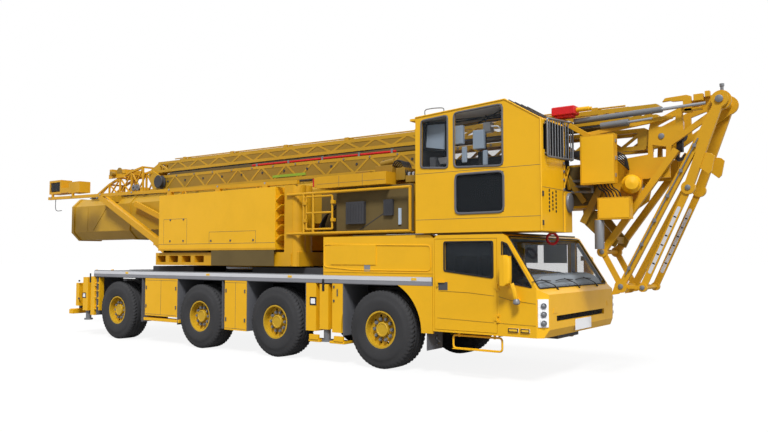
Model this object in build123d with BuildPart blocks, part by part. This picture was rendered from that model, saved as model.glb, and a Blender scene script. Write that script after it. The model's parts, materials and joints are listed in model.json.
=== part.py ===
"""Four-axle mobile tower crane, folded for the road.

Row frame: +X forward, +Y left, +Z up, origin on the ground at the middle of the bounding box.
All sizes are millimetres. A "station" is a distance forward of the first axle, so that
every fore-and-aft place is written as it is measured on the vehicle.
"""
import os
from math import atan2, degrees, hypot

from build123d import *

os.makedirs("parts", exist_ok=True)

# ---------------------------------------------------------------- driving dimensions
total_length = 15450
front_overhang = 4950            # mast head's nose, ahead of the first axle
axle_1_x = total_length / 2 - front_overhang
half_width = 1375                # over the tyres and the deck

# Axles: station, steered or not, hub cap's reach beyond the disc
axle_table = (
    ("1", 0, True, 30),
    ("2", -2330, True, 60),
    ("3", -4380, False, 60),
    ("4", -7125, True, 60),
)
tyre_radius = 620
tyre_width = 440
tyre_seat_radius = 286           # 22.5 inch rim
tyre_shoulder = 45
wheel_y = half_width - tyre_width / 2
hub_z = tyre_radius
fit_gap = 0.3                    # between pieces that are fitted together
pin_gap = 0.05                   # radial, at pins and bearings

# Carrier
deck_top = 1460
deck_bottom = 1330
deck_rear = -8000
deck_front = 1020
rail_inner = 250
rail_outer = 450
rail_top = 1250
rail_bottom = 720
frame_rear = -8600
frame_front = 960
slew_station = -4100
slew_ring_radius = 700

# Driver's cab
cab_rear = 1000
cab_front = 2800
cab_roof = 2090
cab_floor = 660
cab_wall = 50
sill_top = 1320
cowl_top = 2100
cowl_rear = -1220
cowl_side = 1330
door_gap = 6
hinge_pin_radius = 5
hinge_stand_off = 13             # of the hinge axis from the cab's side
hinge_heights = (900, 1350)
tab_clear = 3                    # between a hinge tab and the door's skin

# Superstructure
platform_bottom = 1600
platform_top = 1850
ballast_rear = -5780
ballast_front = -2400
ballast_bottom = 1900
ballast_top = 3030
ballast_inner = 780
ballast_outer = 1300
arm_inner = 620
arm_outer = 740
arm_hinge = (-6600, 2100)        # station, height
mast_pin = (-8750, 3160)
arm_pin_radius = 50

# Mast and jib
mast_rear = -10500
mast_front = 2340
mast_bottom = 2200
mast_top = 3220
mast_half = 470
mast_wall = 14
mast_chamfer = 190
inner_half = 260
inner_bottom = 2480
inner_top = 3130
inner_rear = -9300
head_pin = (4820, 3850)
head_nose = front_overhang - head_pin[0]
jib_root = (4050, 3440)
jib_half = 190
jib_knee = (-7650, 3745)
jib_pin_radius = 40

# Crane operator's cab
opcab_rear = 690
opcab_front = 2760
opcab_bottom = 2125
opcab_right = -half_width
opcab_wall = 40


# ---------------------------------------------------------------- helpers
def at(station):
    """Row X of a station."""
    return axle_1_x + station


def block(s0, s1, y0, y1, z0, z1, mode=Mode.ADD):
    """Box between two stations, two sides and two heights."""
    with Locations((at((s0 + s1) / 2), (y0 + y1) / 2, (z0 + z1) / 2)):
        Box(s1 - s0, y1 - y0, z1 - z0, mode=mode)


def blocks_both_sides(s0, s1, y0, y1, z0, z1, mode=Mode.ADD):
    """The same box on the left and on the right."""
    block(s0, s1, y0, y1, z0, z1, mode=mode)
    block(s0, s1, -y1, -y0, z0, z1, mode=mode)


def plate(outline, y0, y1, mode=Mode.ADD, grow=0):
    """Side outline, (station, height) points, given thickness from y0 to y1."""
    with BuildSketch(Plane.XZ.offset(-y1), mode=Mode.PRIVATE) as side:
        with BuildLine():
            Polyline([(at(s), z) for s, z in outline], close=True)
        make_face()
        if grow:
            offset(amount=grow, kind=Kind.INTERSECTION)
    extrude(side.sketch, amount=y1 - y0, mode=mode)


def plates_both_sides(outline, y0, y1, mode=Mode.ADD):
    """The same side outline on the left and on the right."""
    plate(outline, y0, y1, mode=mode)
    plate(outline, -y1, -y0, mode=mode)


def pin(station, height, y0, y1, radius, mode=Mode.ADD):
    """Round bar along Y."""
    with Locations(Location((at(station), (y0 + y1) / 2, height), (90, 0, 0))):
        Cylinder(radius, y1 - y0, mode=mode)


def post(station, y, z0, z1, radius, mode=Mode.ADD):
    """Round bar along Z."""
    with Locations((at(station), y, (z0 + z1) / 2)):
        Cylinder(radius, z1 - z0, mode=mode)


def shaft(s0, s1, y, z, radius, mode=Mode.ADD):
    """Round bar along X."""
    with Locations(Location((at((s0 + s1) / 2), y, z), (0, 90, 0))):
        Cylinder(radius, s1 - s0, mode=mode)


def strut(start, end, y, width, depth, mode=Mode.ADD):
    """Flat bar between two (station, height) points, centred on y."""
    run = end[0] - start[0]
    rise = end[1] - start[1]
    middle = (at((start[0] + end[0]) / 2), y, (start[1] + end[1]) / 2)
    with Locations(Location(middle, (0, -degrees(atan2(rise, run)), 0))):
        Box(hypot(run, rise), width, depth, mode=mode)


def save(piece, name):
    """Label a finished sub-part and write it out."""
    piece.part.label = name
    export_step(piece.part, "parts/" + name + ".step")


def side_name(side):
    """Plain name of a side, where side is +1 on the left and -1 on the right."""
    return "left" if side > 0 else "right"


# ---------------------------------------------------------------- chassis frame
outrigger_table = (("front", -1165), ("rear", -8335))
beam_half = 75
beam_bottom = 980
beam_top = 1180
housing_wall = 12
beam_spread = beam_half + housing_wall + 4
housing_end = 1150
slide_gap = 0.5                  # all round a sliding beam

with BuildPart() as chassis_frame:
    blocks_both_sides(frame_rear, frame_front, rail_inner, rail_outer, rail_bottom, rail_top)
    for cross in (-8580, -6700, -5700, -3300, -1750, -600, 700):
        block(cross - 50, cross + 50, -rail_inner, rail_inner, 800, rail_top - 40)
    # cab bearers and the towing jaw's carrier below the driver's cab
    blocks_both_sides(500, 2550, 300, 400, 560, cab_floor)
    blocks_both_sides(500, frame_front, 300, 400, cab_floor, rail_bottom)
    block(2450, 2550, -400, 400, 560, cab_floor)
    # spring brackets over the axles
    for label, station, steered, cap in axle_table:
        blocks_both_sides(station - 90, station + 90, rail_outer, 620, 1130, 1230)
    # outrigger housings across the frame
    for label, station in outrigger_table:
        reach = 2 * beam_spread
        block(station - reach, station + reach, -housing_end, housing_end,
              beam_bottom - housing_wall - slide_gap, beam_top + housing_wall + slide_gap)
        for lane in (-beam_spread, beam_spread):
            block(station + lane - beam_half - slide_gap, station + lane + beam_half + slide_gap,
                  -housing_end, housing_end, beam_bottom - slide_gap, beam_top + slide_gap,
                  mode=Mode.SUBTRACT)
    # slewing pedestal, standing on the frame and coming up through the deck
    post(slew_station, 0, rail_top - 20, deck_top + 60, slew_ring_radius)
    post(slew_station, 0, rail_top - 30, deck_top + 70, slew_ring_radius - 130, mode=Mode.SUBTRACT)
    # rear underrun bar
    block(-8960, -8900, -1150, 1150, 560, 700)
    blocks_both_sides(-8900, frame_rear, 330, 430, 600, 700)
    blocks_both_sides(frame_rear - 80, frame_rear, rail_inner, rail_outer, 600, 900)
save(chassis_frame, "chassis_frame")

# ---------------------------------------------------------------- deck
with BuildPart() as deck:
    block(deck_rear, deck_front - 40, -half_width, half_width, deck_bottom, deck_top)
    post(slew_station, 0, deck_bottom - 10, deck_top + 10, slew_ring_radius + 5, mode=Mode.SUBTRACT)
    # bearers down to the frame
    for bearer in (-7400, -6000, -3300, -1750, 400):
        block(bearer - 50, bearer + 50, -690, 690, rail_top, deck_bottom)
save(deck, "deck")

# ---------------------------------------------------------------- mudguards
guard_thick = 10
guard_top = deck_bottom
guard_inner = 710
# axle station, drop ahead of the axle, its foot, drop behind the axle, its foot
guard_table = (
    (0, None, 0, 745, 480),
    (-2330, 745, 520, 700, 420),
    (-4380, 660, 420, 660, 420),
    (-7125, 900, 420, 760, 480),
)
with BuildPart() as mudguards:
    for station, ahead, ahead_foot, behind, behind_foot in guard_table:
        front = station + (ahead or 320)
        rear = station - behind
        for low, high in ((guard_inner, half_width - 5), (5 - half_width, -guard_inner)):
            block(rear, front, low, high, guard_top - guard_thick, guard_top)
            block(rear - guard_thick, rear, low, high, behind_foot, guard_top)
            if ahead:
                block(front, front + guard_thick, low, high, ahead_foot, guard_top)
save(mudguards, "mudguards")

# ---------------------------------------------------------------- lockers along the sides
locker_inner = 720
# rear station, front station, bottom
locker_table = (
    (-6105, -5055, 560),
    (-3640, -3050, 410),
    (-8120, -7980, 470),
)
quarter_arch = 790
with BuildPart() as side_lockers:
    for rear, front, bottom in locker_table:
        blocks_both_sides(rear, front, locker_inner, half_width - 3, bottom, deck_bottom)
    # guards of the front outriggers, open in the middle for the jack
    for rear, front in ((-1570, -1345), (-985, -760)):
        blocks_both_sides(rear, front, locker_inner + 430, half_width - 3, 520, deck_bottom)
    # quarter panel between the first wheel and the driver's cab
    quarter = ((330, 620), (cab_rear - 8, 620), (cab_rear - 8, deck_bottom), (330, deck_bottom))
    plates_both_sides(quarter, half_width - 45, half_width)
    pin(0, hub_z, -half_width - 5, half_width + 5, quarter_arch, mode=Mode.SUBTRACT)
    # steps at the rear corner and boards for the rear lamps
    for tread in (600, 860, 1120):
        blocks_both_sides(-7980, -7900, 900, half_width - 3, tread, tread + 30)
    blocks_both_sides(-8760, -8640, 700, half_width - 25, 650, 1170)
    housing_rear = outrigger_table[1][1] - 2 * beam_spread
    blocks_both_sides(-8640, housing_rear, 900, 1000, 1020, 1140)
save(side_lockers, "side_lockers")

# ---------------------------------------------------------------- axles
kingpin_y = 950
kingpin_radius = 26
boss_radius = 52
boss_half = 62
axle_box = 75
spring_radius = 55

with BuildPart() as axle_beams:
    for label, station, steered, cap in axle_table:
        if steered:
            block(station - axle_box, station + axle_box, -kingpin_y + 30, kingpin_y - 30,
                  hub_z - boss_half, hub_z + boss_half)
            for side in (-1, 1):
                post(station, side * kingpin_y, hub_z - boss_half, hub_z + boss_half, boss_radius)
                post(station, side * kingpin_y, hub_z - 115, hub_z + 115, kingpin_radius)
        else:
            block(station - axle_box, station + axle_box, -1020, 1020,
                  hub_z - boss_half, hub_z + boss_half)
            pin(station, hub_z, -wheel_y - 30, wheel_y + 30, 45)
        with Locations((at(station), 0, hub_z)):
            Sphere(170)
        for side in (-1, 1):
            post(station, side * 540, hub_z + boss_half - 5, 1130 - fit_gap, spring_radius)
save(axle_beams, "axle_beams")

# ---------------------------------------------------------------- knuckles
ear_thick = 32
stub_radius = 45
drum_radius = 190
for label, station, steered, cap in axle_table:
    if not steered:
        continue
    for side in (-1, 1):
        with BuildPart() as knuckle:
            web_near = kingpin_y + boss_radius + 12
            ear_low = hub_z + boss_half + 4
            for z0 in (ear_low, 2 * hub_z - ear_low - ear_thick):
                y_pair = sorted((side * (kingpin_y - 50), side * (web_near + 20)))
                block(station - 55, station + 55, y_pair[0], y_pair[1], z0, z0 + ear_thick)
            y_pair = sorted((side * web_near, side * (web_near + 24)))
            block(station - 55, station + 55, y_pair[0], y_pair[1],
                  2 * hub_z - ear_low - ear_thick, ear_low + ear_thick)
            y_pair = sorted((side * (web_near + 20), side * (web_near + 46)))
            pin(station, hub_z, y_pair[0], y_pair[1], drum_radius)
            y_pair = sorted((side * (web_near + 40), side * (wheel_y + 30)))
            pin(station, hub_z, y_pair[0], y_pair[1], stub_radius)
            post(station, side * kingpin_y, 400, 840, kingpin_radius + pin_gap, mode=Mode.SUBTRACT)
        save(knuckle, "knuckle_" + label + "_" + side_name(side))

# ---------------------------------------------------------------- wheels
disc_offset = 70                 # of the disc, outboard of the wheel's middle
rim_half = 205
barrel_thick = 14
flange_radius = 306
bolt_circle = 168
bolt_count = 10
for label, station, steered, cap in axle_table:
    for side in (-1, 1):
        hub_plane = Plane(origin=(at(station), side * wheel_y, hub_z),
                          x_dir=(1, 0, 0), z_dir=(0, side, 0))
        turning = Axis((at(station), side * wheel_y, hub_z), (0, side, 0))
        profile_plane = Plane(origin=(at(station), side * wheel_y, hub_z),
                              x_dir=(0, side, 0), z_dir=(-side, 0, 0))
        with BuildPart() as tyre:
            with BuildSketch(profile_plane):
                with BuildLine():
                    half = tyre_width / 2
                    seat = tyre_seat_radius + fit_gap
                    Polyline([
                        (-half + 35, seat), (half - 35, seat), (half - 35, flange_radius + 2),
                        (half, seat + 110),
                        (half, tyre_radius - tyre_shoulder), (half - tyre_shoulder, tyre_radius),
                        (-half + tyre_shoulder, tyre_radius), (-half, tyre_radius - tyre_shoulder),
                        (-half, seat + 110), (-half + 35, flange_radius + 2),
                    ], close=True)
                make_face()
            revolve(axis=turning)
        save(tyre, "tyre_" + label + "_" + side_name(side))
        with BuildPart() as rim:
            with BuildSketch(profile_plane):
                with BuildLine():
                    inner = tyre_seat_radius - barrel_thick
                    lip = tyre_width / 2 - 35
                    Polyline([
                        (-lip - 12, inner), (lip + 12, inner), (lip + 12, flange_radius),
                        (lip + fit_gap, flange_radius), (lip + fit_gap, tyre_seat_radius),
                        (-lip - fit_gap, tyre_seat_radius), (-lip - fit_gap, flange_radius),
                        (-lip - 12, flange_radius),
                    ], close=True)
                make_face()
            revolve(axis=turning)
            with BuildSketch(hub_plane.offset(disc_offset)):
                Circle(inner + 2)
                with PolarLocations(220, bolt_count):
                    Circle(22, mode=Mode.SUBTRACT)
            extrude(amount=16)
            with BuildSketch(hub_plane.offset(-60)):
                Circle(115)
            extrude(amount=disc_offset + 76 + cap)
            with BuildSketch(hub_plane.offset(disc_offset + 16)):
                with PolarLocations(bolt_circle, bolt_count):
                    Circle(16)
            extrude(amount=22)
            with BuildSketch(hub_plane.offset(-60)):
                Circle(stub_radius + pin_gap)
            extrude(amount=92, mode=Mode.SUBTRACT)
        save(rim, "rim_" + label + "_" + side_name(side))

# ---------------------------------------------------------------- outriggers and jacks
jack_half = 95
jack_inner = half_width - 185
jack_bottom = 560
jack_rod = 60
for place, station in outrigger_table:
    for side in (-1, 1):
        lane = station + side * beam_spread
        with BuildPart() as outrigger:
            y_pair = sorted((side * jack_inner, side * (jack_inner - 1900)))
            block(lane - beam_half, lane + beam_half, y_pair[0], y_pair[1], beam_bottom, beam_top)
            y_pair = sorted((side * jack_inner, side * half_width))
            block(station - jack_half, station + jack_half, y_pair[0], y_pair[1],
                  jack_bottom, deck_bottom - 20)
            block(lane - beam_half, lane + beam_half, *sorted((side * (jack_inner - 60), side * (jack_inner + 5))),
                  beam_bottom, beam_top)
            post(station, side * (jack_inner + 92), jack_bottom - 5, jack_bottom + 420,
                 jack_rod + fit_gap, mode=Mode.SUBTRACT)
        save(outrigger, "outrigger_" + place + "_" + side_name(side))
        with BuildPart() as jack:
            post(station, side * (jack_inner + 92), 380, jack_bottom + 400, jack_rod)
            post(station, side * (jack_inner + 92), 350, 385, 92)
        save(jack, "jack_" + place + "_" + side_name(side))

# ---------------------------------------------------------------- driver's cab
cab_side = ((cab_rear, cab_floor), (cab_front - 60, cab_floor), (cab_front, cab_floor + 110),
            (cab_front, sill_top - 70), (cab_front - 120, sill_top), (cab_front - 590, cab_roof - 25),
            (cab_front - 640, cab_roof), (cab_rear + 70, cab_roof), (cab_rear, cab_roof - 60))
corner_cut = 130
door_rear = cab_rear + 28
door_front = cab_rear + 1075
hinge_station = door_front - 3
door_outline = ((door_rear, cab_floor + 30), (door_front, cab_floor + 30),
                (door_front, cab_roof - 55), (door_rear, cab_roof - 55))
door_window = ((1200, 1560), (2010, 1470), (2010, 1985), (1200, 1985))
quarter_window = ((2150, 1420), (2600, 1345), (2590, 1375), (2235, 1950), (2150, 1985))
screen_low = (cab_front - 125, sill_top + 12)
screen_high = (cab_front - 585, cab_roof - 35)
screen_half = half_width - 80


def cab_volume(inset):
    """The cab's outer form, drawn in by an inset on every face."""
    with BuildPart() as volume:
        plate(cab_side, inset - half_width, half_width - inset, grow=-inset)
        with BuildSketch(Plane.XY.offset(cab_floor - 50)):
            with BuildLine():
                front = at(cab_front) - inset
                side = half_width - inset
                cut = corner_cut - inset * 0.4
                Polyline([(at(cab_rear) - 10, -side), (front - cut, -side), (front, cut - side),
                          (front, side - cut), (front - cut, side), (at(cab_rear) - 10, side)],
                         close=True)
            make_face()
        extrude(amount=2000, mode=Mode.INTERSECT)
    return volume.part


with BuildPart() as driver_cab:
    add(cab_volume(0))
    add(cab_volume(cab_wall), mode=Mode.SUBTRACT)
    for side in (-1, 1):
        low, high = sorted((side * (half_width - 60), side * (half_width + 10)))
        plate(door_outline, low, high, mode=Mode.SUBTRACT)
        plate(quarter_window, low, high, mode=Mode.SUBTRACT)
        # outer half of each door hinge: two tabs and the pin between them
        for height in hinge_heights:
            hinge_y = side * (half_width + hinge_stand_off)
            low, high = sorted((side * (half_width + tab_clear), hinge_y + side * 5))
            root_low, root_high = sorted((side * (half_width - 5), side * (half_width + tab_clear + 2)))
            for z0, z1 in ((height - 55, height - 32), (height + 32, height + 55)):
                block(hinge_station - 5, hinge_station + 38, low, high, z0, z1)
                block(door_front + 4, hinge_station + 38, root_low, root_high, z0, z1)
            post(hinge_station, hinge_y, height - 50, height + 50, hinge_pin_radius)
    # windscreen and rear window
    screen_cut = (screen_low, (screen_low[0] + 90, screen_low[1] + 50),
                  (screen_high[0] + 90, screen_high[1] + 50), screen_high,
                  (screen_high[0] - 60, screen_high[1] - 37), (screen_low[0] - 60, screen_low[1] - 37))
    plate(screen_cut, -screen_half, screen_half, mode=Mode.SUBTRACT)
    # air slot low in the front
    block(cab_front - 80, cab_front + 10, -1000, 850, 870, 950, mode=Mode.SUBTRACT)
    # bonnet ledge under the windscreen and door sills
    blocks_both_sides(door_rear, door_front, half_width - 160, half_width - 58,
                      cab_floor + 48, cab_floor + 78)
save(driver_cab, "driver_cab")

glass_thick = 6
with BuildPart() as cab_glass:
    run = (screen_high[0] - screen_low[0], screen_high[1] - screen_low[1])
    length = hypot(*run)
    normal = (-run[1] / length, run[0] / length)
    inward = 20
    base = (screen_low[0] + normal[0] * inward + run[0] * 0.002, screen_low[1] + normal[1] * inward + run[1] * 0.002)
    top = (screen_high[0] + normal[0] * inward - run[0] * 0.002, screen_high[1] + normal[1] * inward - run[1] * 0.002)
    pane = (base, top, (top[0] + normal[0] * glass_thick, top[1] + normal[1] * glass_thick),
            (base[0] + normal[0] * glass_thick, base[1] + normal[1] * glass_thick))
    plate(pane, fit_gap - screen_half, screen_half - fit_gap)
    for side in (-1, 1):
        low, high = sorted((side * (half_width - 20), side * (half_width - 20 - glass_thick)))
        plate(quarter_window, low, high, grow=-fit_gap)
save(cab_glass, "cab_glass")

for side in (-1, 1):
    low, high = sorted((side * (half_width - cab_wall), side * half_width))
    with BuildPart() as door:
        plate(door_outline, low, high, grow=-door_gap)
        plate(door_window, low - 5, high + 5, mode=Mode.SUBTRACT)
        # door half of each hinge, an eye on a leaf
        for height in hinge_heights:
            hinge_y = side * (half_width + hinge_stand_off)
            post(hinge_station, hinge_y, height - 30, height + 30, 11)
            block(hinge_station - 55, hinge_station - 6,
                  *sorted((side * (half_width - 2), side * (half_width + 9))), height - 30, height + 30)
            post(hinge_station, hinge_y, height - 40, height + 40, hinge_pin_radius + pin_gap,
                 mode=Mode.SUBTRACT)
        # pull handle near the rear edge
        grip_y = side * (half_width + 14)
        block(1075, 1215, *sorted((side * (half_width - 5), grip_y + side * 12)), 1385, 1405)
        block(1075, 1100, *sorted((side * (half_width - 5), grip_y + side * 12)), 1330, 1405)
    save(door, "door_" + side_name(side))
    with BuildPart() as door_glass:
        low, high = sorted((side * (half_width - 22), side * (half_width - 22 - glass_thick)))
        plate(door_window, low, high, grow=-fit_gap)
    save(door_glass, "door_glass_" + side_name(side))

# seats, dashboard and steering wheel
with BuildPart() as cab_interior:
    inner_floor = cab_floor + cab_wall
    dash = ((2120, 1180), (2480, 1180), (2480, 1250), (2400, 1330), (2120, 1290))
    plate(dash, -1150, 1150)
    plate(((2300, inner_floor), (2480, inner_floor), (2480, 1185), (2300, 1185)), -1150, 1150)
    for seat_y in (-800, 0, 800):
        block(1300, 1780, seat_y - 240, seat_y + 240, 1050, 1180)
        plate(((1200, 1080), (1360, 1080), (1300, 1780), (1180, 1780)), seat_y - 230, seat_y + 230)
        block(1250, 1700, seat_y - 180, seat_y + 180, inner_floor, 1060)
    with Locations(Location((at(2060), 700, 1390), (0, -30, 0))):
        Torus(215, 16)
        Cylinder(50, 30)
        Box(400, 30, 16)
    strut((2060, 1385), (2200, 1240), 700, 60, 60)
save(cab_interior, "cab_interior")

# ---------------------------------------------------------------- lamps and mirrors
with BuildPart() as lamps:
    for side in (-1, 1):
        # headlamp panels seated on the cab's bevelled corners, with three round lamps each
        corner = Plane(origin=(at(cab_front) - corner_cut / 2, side * (half_width - corner_cut / 2), 0),
                       x_dir=(-side, side * side, 0), z_dir=(1, side, 0))
        with BuildSketch(corner.offset(fit_gap)):
            with Locations((0, 1000)):
                Rectangle(150, 380)
        extrude(amount=14)
        with BuildSketch(corner.offset(14)):
            with Locations((0, 1110), (0, 1000), (0, 890)):
                Circle(46)
        extrude(amount=16)
        # amber markers on the cab's flanks
        low, high = sorted((side * (half_width + fit_gap), side * (half_width + 12)))
        block(2250, 2400, low, high, 725, 780)
        block(2440, 2570, low, high, 725, 780)
        # rear lamps
        low, high = sorted((side * 900, side * 1300))
        block(-8790, -8760 - fit_gap, low, high, 930, 1060)
save(lamps, "lamps")

mirror_offset = 105              # from the cab's flank to the mirror
mirror_width = 120
with BuildPart() as mirrors:
    for side in (-1, 1):
        low, high = sorted((side * (half_width + mirror_offset), side * (half_width + mirror_offset + mirror_width)))
        block(2230, 2290, low, high, 1370, 1790)
        low, high = sorted((side * (half_width + fit_gap), side * (half_width + mirror_offset + 20)))
        block(2245, 2275, low, high, 1400, 1425)
        block(2245, 2275, low, high, 1730, 1755)
        low, high = sorted((side * (half_width + fit_gap), side * (half_width + 25)))
        block(2220, 2300, low, high, 1360, 1460)
        block(2220, 2300, low, high, 1700, 1780)
save(mirrors, "mirrors")

# ---------------------------------------------------------------- engine cowl and engine
cowl_outline = ((cowl_rear, deck_top), (cab_rear - 8, deck_top), (cab_rear - 8, cowl_top - 60),
                (cab_rear - 80, cowl_top), (cowl_rear, cowl_top))
cowl_wall = 30
with BuildPart() as engine_cowl:
    plate(cowl_outline, -cowl_side, cowl_side)
    block(cowl_rear + cowl_wall, cab_rear - 8 - cowl_wall, cowl_wall - cowl_side, cowl_side - cowl_wall,
          deck_top - 10, cowl_top - cowl_wall - 60, mode=Mode.SUBTRACT)
    # pressed panel on each flank
    for side in (-1, 1):
        low, high = sorted((side * cowl_side, side * (cowl_side + 12)))
        block(-1050, -100, low, high, 1640, 1960)
save(engine_cowl, "engine_cowl")

with BuildPart() as engine_block:
    block(-950, 500, -420, 420, deck_top, 1960)
save(engine_block, "engine_block")

# ---------------------------------------------------------------- superstructure platform
pillar_rear = -2190
pillar_front = -1870
arm_ear = 85
with BuildPart() as platform:
    post(slew_station, 0, deck_top + 60 + fit_gap, platform_bottom + 20, slew_ring_radius)
    block(-5950, pillar_front, -1240, 1240, platform_bottom, platform_top)
    # open fork pockets along the rear flanks
    for pocket in (-5900, -5500, -5100, -4700):
        for low, high in ((900, 1250), (-1250, -900)):
            block(pocket, pocket + 280, low, high, 1660, 1790, mode=Mode.SUBTRACT)
    # ballast feet
    for foot in (-5600, -4200, -2800):
        blocks_both_sides(foot - 150, foot + 150, 850, 1200, platform_top, ballast_bottom)
    # pillars at the front corners
    for side in (-1, 1):
        low, high = sorted((side * 800, side * 1280))
        block(pillar_rear, pillar_front - 120, low, high, platform_bottom, 3040)
        post(pillar_front - 160, side * 960, platform_bottom, 3040, 160)
        post(pillar_front - 160, side * 1120, platform_bottom, 3040, 160)
    # hinge ears of the raising arms
    for low, high in ((arm_inner - 66, arm_inner - 6), (arm_outer + 6, arm_outer + 40)):
        ear = ((-5950, platform_bottom), (-5600, platform_bottom), (-5600, 2060), (-6450, 2190),
               (-6680, 2150), (-6680, 2050))
        plates_both_sides(ear, low, high)
    pin(arm_hinge[0], arm_hinge[1], arm_inner - 66, arm_outer + 40, arm_pin_radius)
    pin(arm_hinge[0], arm_hinge[1], -arm_outer - 40, 66 - arm_inner, arm_pin_radius)
    # seat for the upright mast
    block(-4950, -3950, -350, 350, platform_top, 2060)
save(platform, "platform")

with BuildPart() as ballast:
    for low, high in ((ballast_inner + 6, ballast_outer), (-ballast_outer, -ballast_inner - 6)):
        block(ballast_rear, ballast_front, low, high, ballast_bottom, ballast_top)
        # louvred end at the front
        for louvre in range(5):
            height = 2050 + louvre * 180
            plate(((ballast_front - 5, height), (ballast_front + 130, height + 100),
                   (ballast_front + 130, height + 116), (ballast_front - 5, height + 16)), low + 10, high - 10)
save(ballast, "ballast")

# ---------------------------------------------------------------- service rails and guard frame
rail_y = 1240
rail_tail = (-10240, 3190)
rail_nose = (-1900, 3085)
strut_foot = (-5900, 2080)
strut_head = (-8050, 3130)
tail_y = 1100
tube_radius = 24
guard_y = -(1280 + tube_radius + fit_gap)
with BuildPart() as service_rails:
    for side in (-1, 1):
        strut(rail_tail, rail_nose, side * rail_y, 60, 70)
        strut(strut_foot, strut_head, side * rail_y, 70, 120)
        low, high = sorted((side * (rail_y - 40), side * (rail_y + 40)))
        block(-5990, ballast_rear, low, high, 2010, 2160)
        for foot in (-5500, -4000, -2700):
            block(foot - 60, foot + 60, low, high, ballast_top, 3110)
        # tail cabinets on the rail ends
        low, high = sorted((side * (tail_y - 130), side * (rail_y + 10)))
        block(-10230, -9700, low, high, 3290, 3620)
        block(-10180, -9750, *sorted((side * (tail_y - 150), side * (rail_y + 30))), 3340, 3570,
              mode=Mode.SUBTRACT)
        block(-9700, -9350, low, high, 3300, 3420)
        block(-9350, -8900, low, high, 3280, 3540)
        for stay in (-10100, -9200):
            block(stay - 30, stay + 30, *sorted((side * (rail_y - 30), side * (rail_y + 10))), 3180, 3310)
    # tubular safety frame beside the mast, standing on the front right pillar
    for height in (2170, 2860):
        shaft(pillar_front - 230, 560, guard_y, height, tube_radius)
    for station in (-1700, -1480, 540):
        post(station, guard_y, 2170, 2860, tube_radius)
    for station in (-1640, -1050):
        post(station, guard_y, 2240, 2800, 18)
    for height in (2240, 2520, 2800):
        shaft(-1640, -1050, guard_y, height, 18)
    for height in (2260, 2800):
        shaft(-1700, -1640, guard_y, height, 12)
    # grating and gear boxes behind the frame
    block(pillar_front, 540, -1270, -640, 2146, 2170)
    block(-1370, 100, -1340, -700, 2930, 3130)
    block(-1430, -1370, -1340, -1100, 2950, 3120)
    block(-1300, -1240, -760, -700, 2170, 2930)
    block(0, 60, -760, -700, 2170, 2930)
    post(-900, -900, 2170, 2620, 150)
    block(-500, -200, -1150, -760, 2170, 2780)
    block(150, 480, -1100, -700, 2170, 2650)
save(service_rails, "service_rails")

# ---------------------------------------------------------------- raising arms
with BuildPart() as raising_arms:
    for side in (-1, 1):
        middle = side * (arm_inner + arm_outer) / 2
        width = arm_outer - arm_inner
        strut(arm_hinge, mast_pin, middle, width, 120)
        low, high = sorted((side * arm_inner, side * arm_outer))
        pin(arm_hinge[0], arm_hinge[1], low, high, arm_ear)
        pin(mast_pin[0], mast_pin[1], low, high, arm_ear)
    for side in (-1, 1):
        low, high = sorted((side * (arm_inner - 5), side * (arm_outer + 5)))
        pin(arm_hinge[0], arm_hinge[1], low, high, arm_pin_radius + pin_gap, mode=Mode.SUBTRACT)
        pin(mast_pin[0], mast_pin[1], low, high, arm_pin_radius + pin_gap, mode=Mode.SUBTRACT)
save(raising_arms, "raising_arms")

# ---------------------------------------------------------------- mast tube
def mast_section(plane, inset):
    """Octagonal section of the mast, drawn in by an inset."""
    with BuildSketch(plane) as section:
        with Locations((0, (mast_top + mast_bottom) / 2)):
            Rectangle(2 * (mast_half - inset), mast_top - mast_bottom - 2 * inset)
        chamfer(section.vertices(), length=mast_chamfer - 0.6 * inset)
    return section.sketch


with BuildPart() as mast_tube:
    rear_plane = Plane(origin=(at(mast_rear), 0, 0), x_dir=(0, 1, 0), z_dir=(1, 0, 0))
    extrude(mast_section(rear_plane, 0), amount=mast_front - mast_rear)
    extrude(mast_section(rear_plane.offset(60), mast_wall), amount=mast_front - mast_rear, mode=Mode.SUBTRACT)
    # stiffening bands
    for band in (mast_rear, -8100, -6400, -1200, 2230):
        extrude(mast_section(rear_plane.offset(band - mast_rear), -24), amount=100)
    extrude(mast_section(rear_plane.offset(60), mast_wall), amount=mast_front - mast_rear, mode=Mode.SUBTRACT)
    # guide pads for the inner mast
    for pad in (-2000, 2100):
        for low, high in ((inner_half + fit_gap, mast_half - mast_wall + 2),
                          (2 - mast_half + mast_wall, -inner_half - fit_gap)):
            block(pad, pad + 200, low, high, 2600, 2760)
        for z0, z1 in ((mast_bottom + mast_wall - 2, inner_bottom - fit_gap),
                       (inner_top + fit_gap, mast_top - mast_wall + 2)):
            block(pad, pad + 200, -200, 200, z0, z1)
    # lugs and pins that ride in the raising arms
    for side in (-1, 1):
        low, high = sorted((side * 300, side * (arm_inner - 8)))
        block(mast_pin[0] - 200, mast_pin[0] + 200, low, high, 3080, 3260)
        low, high = sorted((side * 300, side * (arm_outer + 20)))
        pin(mast_pin[0], mast_pin[1], low, high, arm_pin_radius)
    block(-9950, mast_pin[0] + 100, -300, 300, mast_top - 20, 3300)
    # bracket that carries the operator's cab
    block(900, 2200, -580 + fit_gap, -mast_half + 20, 2400, 2900)
    extrude(mast_section(rear_plane.offset(60), mast_wall), amount=mast_front - mast_rear - 1500,
            mode=Mode.SUBTRACT)
save(mast_tube, "mast_tube")

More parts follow.
